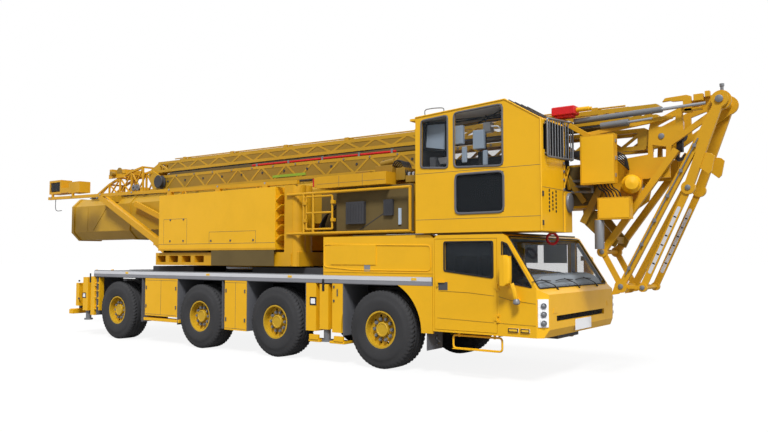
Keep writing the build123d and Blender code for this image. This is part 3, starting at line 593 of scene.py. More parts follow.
def rounded(outline: Array, corner: float, steps: int = 4) -> Array:
    """Outline with each corner turned into an arc-like quadratic curve.

    Args:
        outline: (n, 2) corners.
        corner: distance from a corner at which the curve starts.
        steps: points on each curve.

    Returns:
        (n * steps, 2) points.
    """
    before = np.roll(outline, 1, 0) - outline
    after = np.roll(outline, -1, 0) - outline
    first = outline + before / np.linalg.norm(before, axis=1, keepdims=True) * corner
    last = outline + after / np.linalg.norm(after, axis=1, keepdims=True) * corner
    share = np.linspace(0, 1, steps)[None, :, None]
    curve = ((1 - share) ** 2 * first[:, None] + 2 * share * (1 - share) * outline[:, None]
             + share ** 2 * last[:, None])
    return curve.reshape(-1, 2)


def rod(start: tuple, end: tuple) -> Array:
    """Two-point path between (station, y, height) places."""
    return np.array([(at(start[0]), start[1], start[2]), (at(end[0]), end[1], end[2])], float)


def path(*places: tuple) -> Array:
    """Smooth path through (station, y, height) places, a Catmull-Rom curve with 6 steps a run.

    Args:
        places: the places it passes through.

    Returns:
        (n, 3) points in the row frame.
    """
    knots = np.array([(at(s), y, z) for s, y, z in places], float)
    padded = np.vstack([2 * knots[0] - knots[1], knots, 2 * knots[-1] - knots[-2]])
    share = np.linspace(0, 1, 6, endpoint=False)[None, :, None]
    p0, p1, p2, p3 = (padded[k:len(padded) - 3 + k][:, None] for k in range(4))
    curve = 0.5 * (2 * p1 + (p2 - p0) * share + (2 * p0 - 5 * p1 + 4 * p2 - p3) * share ** 2
                   + (3 * p1 - p0 - 3 * p2 + p3) * share ** 3)
    return np.vstack([curve.reshape(-1, 3), knots[-1:]])


# ---------------- stage
@dataclass(frozen=True)
class Sun:
    """A distant lamp.

    Attributes:
        name: the lamp's name.
        energy: its strength.
        spread: its angle across, in degrees.
        toward: direction from the machine to the lamp.
    """

    name: str
    energy: float
    spread: float
    toward: tuple[float, float, float]


@dataclass
class Studio:
    """Floor, light and camera.

    Attributes:
        eye: the camera's place in the row frame.
        forward: where it looks.
        lens: focal length for a 36 mm sensor.
        suns: the distant lamps.
        sky_light: strength of the white surround as light.
        sky_seen: its strength where it is seen.
        floor_glow: share of the floor that is plain white to the camera.
        floor_reach: half width of the floor.
    """

    eye: tuple[float, float, float] = (6.912 + AXLE_ONE_X, -10.544, 1.767)
    forward: tuple[float, float, float] = (-0.59604, 0.80097, 0.05634)
    lens: float = 33.94
    suns: tuple[Sun, ...] = (
        Sun("key", 3.35, 14, (0.4, -0.52, 0.76)), Sun("fill", 0.3, 60, (-0.5, 0.6, 0.5)),
        Sun("front", 0.55, 40, (0.93, -0.05, 0.36)))
    sky_light: float = 0.38
    sky_seen: float = 1.0
    floor_glow: float = 0.88
    floor_reach: float = 150.0

    def build(self) -> None:
        """Make the camera, the lamps, the world and the floor."""
        self.add_camera()
        self.add_world()
        self.add_lamps()
        self.add_floor()
        bpy.context.scene.view_settings.view_transform = "Standard"

    def add_camera(self) -> None:
        """Place the camera: its axes are right = forward x up, up, and minus forward."""
        forward = Vector(self.forward).normalized()
        right = forward.cross(Vector((0, 0, 1))).normalized()
        up = right.cross(forward)
        turn = Matrix((right, up, -forward)).transposed().to_4x4()
        data = bpy.data.cameras.new("camera")
        data.lens = self.lens
        data.sensor_width = 36
        data.clip_end = 500
        camera = bpy.data.objects.new("camera", data)
        camera.matrix_world = Matrix.Translation(self.eye) @ turn
        bpy.context.scene.collection.objects.link(camera)
        bpy.context.scene.camera = camera

    def add_world(self) -> None:
        """A white surround: full strength where it is seen or mirrored, softer as light."""
        world = bpy.data.worlds.new("studio")
        bpy.context.scene.world = world
        world.use_nodes = True
        nodes = world.node_tree.nodes
        links = world.node_tree.links
        sky = set_inputs(nodes["Background"], {"Color": (1, 1, 1, 1)})
        ray = nodes.new("ShaderNodeLightPath")
        seen = nodes.new("ShaderNodeMath")
        seen.operation = "MAXIMUM"
        through = nodes.new("ShaderNodeMath")
        through.operation = "MAXIMUM"
        level = set_inputs(
            nodes.new("ShaderNodeMapRange"), {"To Min": self.sky_light, "To Max": self.sky_seen})
        links.new(ray.outputs["Is Camera Ray"], seen.inputs[0])
        links.new(ray.outputs["Is Transmission Ray"], seen.inputs[1])
        links.new(seen.outputs[0], through.inputs[0])
        links.new(ray.outputs["Is Glossy Ray"], through.inputs[1])
        links.new(through.outputs[0], level.inputs["Value"])
        links.new(level.outputs["Result"], sky.inputs["Strength"])

    def add_lamps(self) -> None:
        """Three suns: a broad key above the front right corner, weak fills from the left and ahead."""
        for sun in self.suns:
            data = bpy.data.lights.new(sun.name, "SUN")
            data.energy = sun.energy
            data.angle = radians(sun.spread)
            lamp = bpy.data.objects.new(sun.name, data)
            lamp.rotation_mode = "QUATERNION"
            lamp.rotation_quaternion = Vector(sun.toward).to_track_quat("Z", "Y")
            bpy.context.scene.collection.objects.link(lamp)

    def add_floor(self) -> None:
        """A wide pale floor that keeps a faint shadow."""
        reach = self.floor_reach
        mesh = bpy.data.meshes.new("floor")
        corners = [(-reach, -reach, 0), (reach, -reach, 0), (reach, reach, 0), (-reach, reach, 0)]
        mesh.from_pydata(corners, [], [(0, 1, 2, 3)])
        floor = bpy.data.objects.new("floor", mesh)
        bpy.context.scene.collection.objects.link(floor)
        made = bpy.data.materials.new("pale_floor")
        made.use_nodes = True
        nodes = made.node_tree.nodes
        links = made.node_tree.links
        shader = set_inputs(
            nodes["Principled BSDF"], {"Base Color": (0.95, 0.95, 0.95, 1), "Roughness": 0.95})
        glow = set_inputs(nodes.new("ShaderNodeEmission"), {"Color": (1, 1, 1, 1)})
        seen = set_inputs(nodes.new("ShaderNodeMixShader"), {"Fac": self.floor_glow})
        bounce = set_inputs(nodes.new("ShaderNodeBsdfDiffuse"), {"Color": (0.34, 0.34, 0.34, 1)})
        mix = nodes.new("ShaderNodeMixShader")
        ray = nodes.new("ShaderNodeLightPath")
        links.new(shader.outputs[0], seen.inputs[1])
        links.new(glow.outputs[0], seen.inputs[2])
        links.new(ray.outputs["Is Camera Ray"], mix.inputs["Fac"])
        links.new(bounce.outputs[0], mix.inputs[1])
        links.new(seen.outputs[0], mix.inputs[2])
        links.new(mix.outputs[0], nodes["Material Output"].inputs["Surface"])
        mesh.materials.append(made)


# ---------------- CAD pieces
class CadPaint:
    """Puts each CAD node's finish into its material slot."""

    def dress(self) -> None:
        """Assign every node its own finish where it has one, else that of its record slot."""
        slots = {row["node"]: row["material_slot"] for row in frame["record"]["subparts"]}
        for name, node in frame["nodes"].items():
            material = NODE_FINISH.get(name, SLOT_FINISH[slots[name]]).material()
            if node.material_slots:
                for holder in node.material_slots:
                    holder.material = material
            else:
                node.data.materials.append(material)


# ---------------- wheels
@dataclass
class Wheels:
    """Tyres with block tread, and the rims' small parts.

    Attributes:
        stations: of the four axles.
        radius, width: of a tyre.
        seat: radius of the rim's tyre seat.
        lugs: tread blocks round a tyre.
    """

    stations: tuple[float, ...] = AXLE_STATIONS
    radius: float = 0.62
    width: float = 0.44
    seat: float = 0.2865
    lugs: int = 54

    def build(self) -> None:
        """Make the eight tyres and the small parts on their rims."""
        for axle, station in enumerate(self.stations, start=1):
            for side, word in ((-1, "right"), (1, "left")):
                centre = (at(station), side * (HALF_WIDTH - self.width / 2), self.radius)
                tyre = self.tyre(f"{axle}_{word}", centre)
                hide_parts(f"tyre_{axle}_{word}")
                self.rim_parts(f"{axle}_{word}", centre, side)

    def tyre(self, label: str, centre: tuple) -> bpy.types.Object:
        """A tyre as a grid of angle u and profile position v.

        Radius and offset follow the section's arc; between the shoulders the radius drops by the
        groove depth where a lug wave in u and v is low, and in four round grooves.

        Args:
            label: axle and side.
            centre: the wheel's middle.

        Returns:
            The tyre.
        """
        half = self.width / 2
        crown = np.array([
            (-half + 0.036, self.seat), (-half + 0.02, self.seat + 0.012),
            (-half + 0.012, self.seat + 0.045), (-half + 0.002, self.seat + 0.11),
            (-half, self.seat + 0.16), (-half + 0.003, self.seat + 0.2), (-half + 0.007, self.seat + 0.205),
            (-half + 0.008, self.seat + 0.26), (-half + 0.018, self.radius - 0.048),
            (-half + 0.03, self.radius - 0.022), (-half + 0.045, self.radius - 0.008)])
        across = np.linspace(-half + 0.06, half - 0.06, 33)
        tread = np.column_stack([across, self.radius - 0.006 * (across / half) ** 2])
        section = np.vstack([crown, tread, crown[::-1] * [-1, 1]])
        segments = self.lugs * 6
        angle = np.linspace(0, tau, segments, endpoint=False)
        offset = np.broadcast_to(section[:, 0][:, None], (len(section), segments))
        radius = np.broadcast_to(section[:, 1][:, None], (len(section), segments)).copy()
        on_tread = section[:, 1] > self.radius - 0.03
        skew = 0.35 * np.sin(np.abs(section[:, 0]) / half * 4.0)[:, None]
        wave = np.cos(self.lugs * angle[None] + skew * self.lugs * 0.18)
        edge = np.abs(section[:, 0])[:, None] > half * 0.52
        cut = np.where(edge, np.clip((wave - 0.3) * 4, 0, 1), 0) * 0.012
        grooves = np.abs(np.abs(section[:, 0]) - half * np.array([[0.16], [0.5]])).min(0) < 0.008
        cut = np.maximum(cut, np.where(grooves, 0.012, 0)[:, None])
        radius -= np.where(on_tread[:, None], cut, 0)
        points = np.stack(
            [centre[0] + radius * np.sin(angle), centre[1] + offset, centre[2] + radius * np.cos(angle)],
            -1)
        quads = loop_faces(len(section), segments, closed=True)[:, [0, 3, 2, 1]]
        shell = Shell().add(points, quads)
        return shell.build("tread_tyre_" + label, RUBBER, "wheel_" + label, slot="tyre", smooth=40)

    def rim_parts(self, label: str, centre: tuple, side: int) -> None:
        """Wheel nuts on their washers, hub cap and valve stem on a rim.

        Args:
            label: axle and side.
            centre: the wheel's middle.
            side: +1 left, -1 right.
        """
        count = 10
        circle = 0.168
        angle = np.arange(count) / count * tau
        seat_y = centre[1] + side * 0.108
        seats = np.column_stack([
            centre[0] + circle * np.cos(angle), np.full(count, seat_y), centre[2] + circle * np.sin(angle)])
        Shell().bolts(seats, 1, 0.03, side * 0.014, 16).bolts(seats, 1, 0.022, side * 0.036).build(
            "wheel_nuts_" + label, CYLINDER, "wheel_" + label, slot="bright_steel")
        Shell().lathe(
            [(0, 0.115), (0.006, 0.115), (0.012, 0.108), (0.012, 0.09), (0.006, 0.085), (0.006, 0.0)],
            (centre[0], centre[1] + side * 0.15, centre[2]), (0, side, 0),
            40).build("hub_cap_" + label, RIM_PAINT, "wheel_" + label, slot="rim_yellow")
        stem = np.array([(centre[0] + 0.24, centre[1] + side * 0.09, centre[2]),
                         (centre[0] + 0.245, centre[1] + side * 0.15, centre[2] + 0.01)])
        Shell().tube(stem, 0.006).build("valve_" + label, STEEL, "wheel_" + label, slot="bright_steel")


# ---------------- deck edge
@dataclass
class DeckEdge:
    """Light stripe over a grey band along the deck, with yellow markers.

    Attributes:
        rear, front: stations of its ends.
        bottom, top: heights.
        proud: how far the strips stand out.
        markers: stations of the yellow markers.
    """

    rear: float = -8.0
    front: float = 0.98
    bottom: float = 1.332
    top: float = 1.458
    proud: float = 0.006
    markers: tuple[float, ...] = (-6.75, -4.12, -1.95, 0.66)

    def build(self) -> None:
        """Make the stripe, the band and the markers."""
        middle = self.bottom + 0.062
        edge = HALF_WIDTH + 0.0004
        stripe = Shell().both_sides(
            (at(self.rear), edge - 0.001, middle), (at(self.front), edge + self.proud, self.top))
        stripe.boxes([(at(self.rear) - self.proud, -HALF_WIDTH, middle)],
                     [(at(self.rear) - 0.0004, HALF_WIDTH, self.top)])
        stripe.build("deck_stripe", STRIPE, "carrier", bevel=0.002)
        band = Shell().both_sides(
            (at(self.rear), edge - 0.001, self.bottom),
            (at(self.front), edge + self.proud * 0.7, middle - 0.004))
        band.build("deck_band", BAND, "carrier", bevel=0.002)
        markers = Shell()
        for station in self.markers:
            markers.both_sides((at(station) - 0.05, edge, middle + 0.012),
                               (at(station) + 0.05, edge + self.proud + 0.004, self.top - 0.012))
        markers.build("side_markers", AMBER, "carrier", bevel=0.003)
        kerb = Shell().both_sides(
            (at(self.rear), HALF_WIDTH - 0.04, self.top + 0.002),
            (at(-1.25), HALF_WIDTH - 0.01, self.top + 0.016))
        kerb.build("deck_kerb", DECK_PAINT, "carrier", bevel=0.003)


# ---------------- driver's cab
@dataclass
class DriverCabTrim:
    """Seals, wipers, lamps, plates, steps, doors' trim and inside of the driver's cab.

    Attributes:
        side: half width of the cab.
        screen_low, screen_high: the windscreen's lower and upper edge, station and height.
        screen_half: its half width.
    """

    side: float = HALF_WIDTH
    screen_low: tuple[float, float] = (2.675, 1.332)
    screen_high: tuple[float, float] = (2.215, 2.055)
    screen_half: float = 1.295

    def build(self) -> None:
        """Make every piece."""
        self.seals()
        self.wipers()
        self.front()
        self.steps()
        self.doors()
        self.inside()

    def on_screen(self, across: float, up: float, lift: float = 0.0) -> tuple[float, float, float]:
        """Place on the windscreen.

        Args:
            across: y.
            up: distance up the glass from its lower edge.
            lift: distance off the glass.

        Returns:
            Station, y, height.
        """
        run = np.array(self.screen_high) - np.array(self.screen_low)
        run /= np.linalg.norm(run)
        out = np.array([run[1], -run[0]])
        place = np.array(self.screen_low) + run * up + out * lift
        return (float(place[0]), across, float(place[1]))

    def seals(self) -> None:
        """Rubber round the windscreen and the quarter windows."""
        shell = Shell()
        half, high = self.screen_half, 0.857
        ring = rounded(np.array([[-half, 0.0], [half, 0.0], [half, high], [-half, high]]), 0.05, 6)
        places = np.array([self.on_screen(y, up, 0.002) for y, up in ring])
        shell.tube(places + [AXLE_ONE_X, 0, 0], 0.01, sides=6, closed=True)
        quarter = [(2.15, 1.42), (2.6, 1.345), (2.59, 1.375), (2.235, 1.95), (2.15, 1.985)]
        for y in (-self.side - 0.002, self.side + 0.002):
            shell.frame_of(quarter, y, 0.008, 0.015)
        shell.build("screen_seals", BLACK, "carrier")

    def wipers(self) -> None:
        """Three wipers parked along the lower edge of the windscreen."""
        shell = Shell()
        for pivot in (-0.75, 0.05, 0.8):
            arm = [self.on_screen(pivot, -0.035, 0.02), self.on_screen(pivot - 0.1, 0.03, 0.035),
                   self.on_screen(pivot - 0.38, 0.12, 0.03)]
            shell.tube(path(*arm), 0.007)
            blade = [self.on_screen(pivot - 0.68, 0.1, 0.014), self.on_screen(pivot - 0.38, 0.115, 0.02),
                     self.on_screen(pivot - 0.06, 0.1, 0.014)]
            shell.tube(path(*blade), 0.006)
            foot = rod(self.on_screen(pivot, -0.04, -0.01), self.on_screen(pivot, -0.04, 0.03))
            shell.tube(foot, 0.016, sides=10)
        shell.build("wipers", BLACK, "carrier")

    def front(self) -> None:
        """Lamp bezels and lenses, slats in the air slot, and the blank plate with its brackets."""
        cut = 0.065
        for sign, word in ((-1, "right"), (1, "left")):
            out = np.array([1, sign, 0]) / np.sqrt(2)
            bezel, lens = Shell(), Shell()
            for height, size in ((1.1, 0.04), (0.985, 0.042), (0.865, 0.042)):
                middle = np.array([at(2.8 - cut), sign * (self.side - cut), height]) + out * 0.0295
                bezel.lathe([(0, size), (0.012, size - 0.002), (0.014, size - 0.006), (0.006, size - 0.01),
                             (0.0, size - 0.012)], middle, out, 28)
                lens.lathe([(0.001, size - 0.008), (0.009, size - 0.018), (0.013, 0.01), (0.0135, 0)],
                           middle, out, 28)
            bezel.build("headlamp_bezels_" + word, MUDGUARD, "carrier")
            lens.build("headlamp_lenses_" + word, CYLINDER, "carrier")
            flash = Shell()
            low, high = sorted((sign * (self.side + 0.012), sign * (self.side + 0.018)))
            flash.slabs([(2.262, 2.388, low, high, 0.736, 0.769), (2.452, 2.558, low, high, 0.736, 0.769)])
            flash.build("turn_lenses_" + word, AMBER, "carrier", bevel=0.003)
            rim = Shell()
            near, far = low - 0.001, high - 0.004
            for s0, s1 in ((2.25, 2.4), (2.44, 2.57)):
                rim.slabs([
                    (s0, s1, near, far, 0.725, 0.737), (s0, s1, near, far, 0.768, 0.78),
                    (s0, s0 + 0.012, near, far, 0.725, 0.78), (s1 - 0.012, s1, near, far, 0.725, 0.78)])
            rim.build("turn_lamp_rims_" + word, BLACK, "carrier")
        slats = Shell().slabs(
            [(2.735, 2.775, -0.995, 0.845, z, z + 0.006) for z in np.linspace(0.876, 0.934, 4)])
        slats.slabs([(2.72, 2.74, y, y + 0.012, 0.862, 0.958) for y in np.linspace(-0.95, 0.8, 9)])
        slats.build("air_slot_slats", BLACK, "carrier", bevel=0.001)
        Shell().slabs([(2.803, 2.809, -0.35, 0.27, 0.7, 0.86)]).build(
            "blank_front_plate", WHITE, "carrier", bevel=0.002)
        brackets = Shell().slabs([(2.795, 2.804, y, y + 0.03, 0.69, 0.87) for y in (-0.3, 0.19)])
        brackets.slabs([(2.798, 2.806, -1.12, -0.98, 0.99, 1.06), (2.798, 2.806, 0.98, 1.12, 0.99, 1.06)])
        brackets.build("front_brackets", BODY_PAINT, "carrier", bevel=0.002)

    def steps(self) -> None:
        """Tubular boarding steps below each door, and the mudflaps with their chain hooks."""
        shell = Shell()
        for y in (-1.3, 1.3):
            loop = rounded(np.array([(1.31, 0.43), (2.11, 0.43), (2.11, 0.62), (1.31, 0.62)]), 0.05, 6)
            shell.tube(np.column_stack([at(0) + loop[:, 0], np.full(len(loop), y), loop[:, 1]]), 0.016,
                       sides=8, closed=True)
            shell.slabs([(1.34, 2.08, y - 0.09, y + 0.03, 0.425, 0.437)])
            shell.slabs([(s, s + 0.03, y - 0.02, y + 0.01, 0.6, 0.672) for s in (1.4, 1.98)])
        shell.build("boarding_steps", BODY_PAINT, "carrier", bevel=0.003)
        flap = Shell().slabs([(0.875, 0.89, 0.93, 1.36, 0.36, 0.7)], mirrored=True)
        flap.build("mudflaps", MUDGUARD, "carrier", bevel=0.004)
        hook = Shell()
        for sign in (-1, 1):
            hook.tube(path(*((s, sign * y, z) for s, y, z in (
                (0.905, 1.1, 0.57), (0.915, 1.14, 0.53), (0.915, 1.1, 0.5), (0.915, 1.06, 0.47),
                (0.915, 1.1, 0.43), (0.905, 1.14, 0.44)))), 0.008)
        hook.build("chain_hooks", STEEL, "carrier")

    def doors(self) -> None:
        """Seals, locks, films, blinds, cards and swages, and the swages ahead of the doors."""
        window = [(1.2, 1.56), (2.01, 1.47), (2.01, 1.985), (1.2, 1.985)]
        for sign, word in ((-1, "right"), (1, "left")):
            body = "cab_door_" + word
            seal = Shell().frame_of(window, sign * (self.side + 0.001), 0.013, 0.025)
            seal.build("door_seal_" + word, BLACK, body)
            low, high = sorted((sign * (self.side - 0.002), sign * (self.side + 0.005)))
            Shell().slabs([(1.1, 1.26, low, high, 1.275, 1.395)]).build(
                "door_lock_" + word, DARK_LOCK, body, bevel=0.004)
            near, far = sorted((sign * (self.side - 0.058), sign * (self.side - 0.053)))
            if sign < 0:
                film = Shell().prism([(1.206, 1.566), (2.004, 1.477), (2.004, 1.979), (1.206, 1.979)],
                                     0.033 - self.side, 0.036 - self.side)
                film.build("door_film_" + word, SMOKED_GLASS, body)
            else:
                blind_and_shade_sheet = Shell().slabs([
                    (1.21, 1.46, near, far, 1.66, 1.975), (1.57, 2.0, near, far, 1.66, 1.975)])
                blind_and_shade_sheet.build("door_blind_" + word, LINING, body, bevel=0.002)
            self.swage("door_swage_" + word, body, sign, (
                (1.1, 1.262, 1.6, 1.25, 0.007), (1.6, 1.25, 2.03, 1.215, 0.007),
                (1.08, 0.862, 2.03, 0.838, 0.006)))
            self.swage("front_swage_" + word, "carrier", sign, (
                (2.1, 1.208, 2.28, 1.165, 0.007), (2.28, 1.165, 2.66, 1.125, 0.007),
                (2.1, 0.836, 2.66, 0.828, 0.006)))
            Shell().slabs([(1.08, 2.02, near, far, 0.74, 1.44)]).build(
                "door_card_" + word, TRIM, body, bevel=0.002)

    def swage(self, name: str, body: str, sign: int, runs: tuple) -> None:
        """Pressed lines on a flank, each a thin bar that stands a little proud, in darkened yellow: painted
        shade along the crease.

        Args:
            name: the piece's name.
            body: the CAD body it rides on.
            sign: +1 left, -1 right.
            runs: station and height at both ends, and depth, of each bar.
        """
        low, high = sorted((sign * (self.side - 0.004), sign * (self.side + 0.003)))
        middle = (low + high) / 2
        bars = Shell()
        for s0, z0, s1, z1, depth in runs:
            bars.beam((s0, middle, z0), (s1, middle, z1), high - low, depth)
        # The bars are in darkened yellow: painted shade along each pressed line.
        bars.build(name, SHADE_YELLOW_PAINT, body)

    def inside(self) -> None:
        """Grey lining, then the mirrors, dash, side film, roof pads and seats."""
        lining = Shell().slabs([
            (1.056, 1.064, -1.318, 1.318, 0.78, 2.02), (1.07, 2.12, -1.3, 1.3, 2.028, 2.034),
            (2.08, 2.14, -1.322, -1.312, 1.3, 2.0), (2.08, 2.14, 1.312, 1.322, 1.3, 2.0)])
        for y in (-1.285, 1.285):
            lining.beam((2.6, y, 1.37), (2.2, y, 1.985), 0.03, 0.05)
        lining.build("cab_lining", LINING, "carrier")
        self.mirrors()
        self.dash()
        Shell().prism(
            [(2.155, 1.43), (2.585, 1.355), (2.575, 1.38), (2.232, 1.94), (2.155, 1.975)],
            0.034 - self.side, 0.037 - self.side).build("quarter_film_right", SMOKED_GLASS, "carrier")
        self.roof()
        self.seats()

    def mirrors(self) -> None:
        """Mirror shells, stays and lamps.

        A shell's depth over a grid u, v in -1..1 is d (1 - |u|^3.2)^0.4 (1 - |v|^6)^0.5.
        """
        cover = Shell()
        rows, cols = 12, 16
        v, u = np.meshgrid(np.linspace(-1, 1, rows), np.linspace(-1, 1, cols), indexing="ij")
        depth = 0.085 * (1 - np.abs(u) ** 3.2) ** 0.4 * (1 - np.abs(v) ** 6) ** 0.5
        stay, lamp = Shell(), Shell()
        for sign in (-1, 1):
            grid = np.stack([at(2.291) + depth, sign * 1.54 + 0.062 * u, 1.58 + 0.212 * v], -1)
            cover.add(grid, grid_faces(rows, cols))
            stay.tube(path(*((s, sign * y, z) for s, y, z in (
                (2.36, 1.5, 1.4), (2.39, 1.49, 1.3), (2.4, 1.46, 1.19), (2.39, 1.372, 1.16)))), 0.036)
            lamp.lathe([(0, 0.0), (0, 0.03), (0.02, 0.045), (0.06, 0.048), (0.075, 0.035), (0.08, 0.0)],
                       (at(2.42), sign * 1.47, 1.19), (0, 0, -1), 24)
        cover.build("mirror_covers", BODY_PAINT, "carrier")
        stay.build("mirror_stays", BODY_PAINT, "carrier")
        lamp.build("mirror_lamps", CYLINDER, "carrier")

    def dash(self) -> None:
        """Dash hood and its round vents.

        The hood runs back with v and across with u; its rise is h sin(pi v^0.8)^0.6 (1 - |u|^10)^0.5.
        """
        rows, cols = 14, 40
        v, u = np.meshgrid(np.linspace(0, 1, rows), np.linspace(-1, 1, cols), indexing="ij")
        edge = (1 - np.abs(u) ** 10) ** 0.5
        hood = np.stack(
            [at(2.64) - 0.46 * v, 1.24 * u, 1.335 + 0.185 * np.sin(pi * v ** 0.8) ** 0.6 * edge], -1)
        Shell().add(hood, grid_faces(rows, cols)).build("dash_hood", DASH, "carrier")
        vents = Shell()
        for y in (-0.62, -0.05, 0.55):
            vents.lathe([(0, 0.0), (0, 0.07), (0.012, 0.07), (0.014, 0.055), (0.008, 0.0)],
                        (at(2.47), y, 1.508), (0.35, 0, 1), 28)
        vents.build("dash_vents", BLACK, "carrier")

    def roof(self) -> None:
        """Dark brown pads between the cab's roof, the cowl and what lies over them: painted shade in the
        gaps.
        """
        mat = Shell().slabs([(s, s + 0.12, -1.3, 1.3, 2.0905, 2.118) for s in (1.1, 1.55, 2.0)])
        mat.slabs([(1.06, 2.14, -1.34, -1.3, 2.0905, 2.118), (1.06, 2.14, 1.3, 1.34, 2.0905, 2.118)])
        mat.slabs([(-0.6, 0.97, -1.32, -1.26, 2.1005, 2.118), (-0.6, 0.97, 1.26, 1.32, 2.1005, 2.118)])
        mat.build("roof_pads", SHADE_BROWN_PAINT, "carrier", bevel=0.003)

    def seats(self) -> None:
        """Seat and back cushions, each crowned by h (1 - u^4)(1 - v^4)."""
        cushion = Shell()
        rows, cols = 10, 12
        u, v = np.meshgrid(np.linspace(-1, 1, cols), np.linspace(-1, 1, rows))
        crown = 0.05 * (1 - u ** 4) * (1 - v ** 4)
        quads = grid_faces(rows, cols)
        for y in (-0.8, 0.0, 0.8):
            grid = np.stack([at(1.55) + 0.225 * v, y + 0.23 * u, 1.181 + crown], -1)
            back = np.stack(
                [at(1.335) - 0.08 * (v + 1) / 2 * 0.75 + crown, y + 0.22 * u, 1.47 + 0.29 * v], -1)
            cushion.add(grid, quads).add(back, quads)
        cushion.build("seat_cushions", SEAT_CLOTH, "carrier")


# ---------------- engine cowl
@dataclass
class CowlTrim:
    """Panel border, blank plate and lid seams of the engine cowl.

    Attributes:
        side: half width of the cowl.
    """

    side: float = 1.33

    def build(self) -> None:
        """Make every piece."""
        border = Shell()
        for y in (-self.side - 0.001, self.side + 0.001):
            border.frame_of(
                [(-1.2, 1.6), (-0.55, 1.555), (0.93, 1.555), (0.93, 1.94), (-1.2, 1.975)], y, 0.011, 0.06)
        border.slabs([(-1.215, 0.985, self.side - 0.001, self.side + 0.008, 1.512, 1.532)], mirrored=True)
        border.build("cowl_panel_border", BODY_PAINT, "carrier", bevel=0.002)
        plate = Shell().slabs([(-0.34, -0.22, self.side, self.side + 0.008, 1.535, 1.635)], mirrored=True)
        plate.build("cowl_blank_plate", BAND, "carrier", bevel=0.003)
        Shell().slabs([(s, s + 0.005, -1.29, 1.29, 2.099, 2.1015) for s in (0.02, -0.7)]).build(
            "cowl_lid_seams", SEAL, "carrier")


# ---------------- superstructure
@dataclass
class BallastTrim:
    """Panel seams, latches, lifting eyes and plinth of the ballast boxes, and the skirt below them, a dark
    sheet of painted shade.

    Attributes:
        face: half width over the boxes.
    """

    face: float = 1.3

    def build(self) -> None:
        """Make every piece."""
        near, out = self.face - 0.001, self.face + 0.0015
        seam = Shell().slabs([
            (-5.775, -2.405, near, out, 2.02, 2.026),
            (-5.62, -5.615, near, out, 2.03, 2.54), (-4.88, -4.875, near, out, 2.03, 2.52),
            (-5.62, -4.88, near, out, 2.53, 2.535), (-4.2, -2.9, near, out, 2.245, 2.25),
            (-4.2, -4.195, near, out, 2.03, 2.245), (-2.905, -2.9, near, out, 2.03, 2.245)], mirrored=True)
        seam.build("ballast_seams", SEAL, "superstructure")
        heads = [(s, s + 0.035, near, self.face + 0.012, z, z + 0.035) for s, z in (
            (-5.42, 2.07), (-5.0, 2.07), (-5.42, 2.5), (-5.0, 2.5), (-4.16, 2.06), (-3.6, 2.06),
            (-2.98, 2.06))]
        Shell().slabs(heads, mirrored=True).build(
            "ballast_latches", DARK_LOCK, "superstructure", bevel=0.004)
        eyes = Shell()
        angle = np.linspace(0, tau, 20, endpoint=False)
        for sign in (-1, 1):
            for station in (-5.3, -4.2, -3.1):
                ring = np.stack([at(station) + 0.05 * np.cos(angle), np.full(20, sign * 1.05),
                                 3.07 + 0.05 * np.sin(angle)], -1)
                eyes.tube(ring, 0.012, closed=True)
        eyes.build("lifting_eyes", FRAME_PAINT, "superstructure")
        plinth = Shell().slabs([(-5.79, -2.39, near - 0.02, self.face + 0.006, 1.892, 1.935)], mirrored=True)
        plinth.build("ballast_plinth", FRAME_PAINT, "superstructure", bevel=0.004)
        # The skirt and the bars under the boxes are dark brown sheets: painted shade.
        skirt = Shell().slabs(
            [(-4.12, -2.42, self.face + 0.003, self.face + 0.009, 1.605, 1.888)], mirrored=True)
        skirt.slabs([(-5.75, -2.45, 0.95, 1.2, 1.852, 1.898)], mirrored=True)
        skirt.build("ballast_shade_skirt", SHADE_BROWN_PAINT, "superstructure", bevel=0.002)


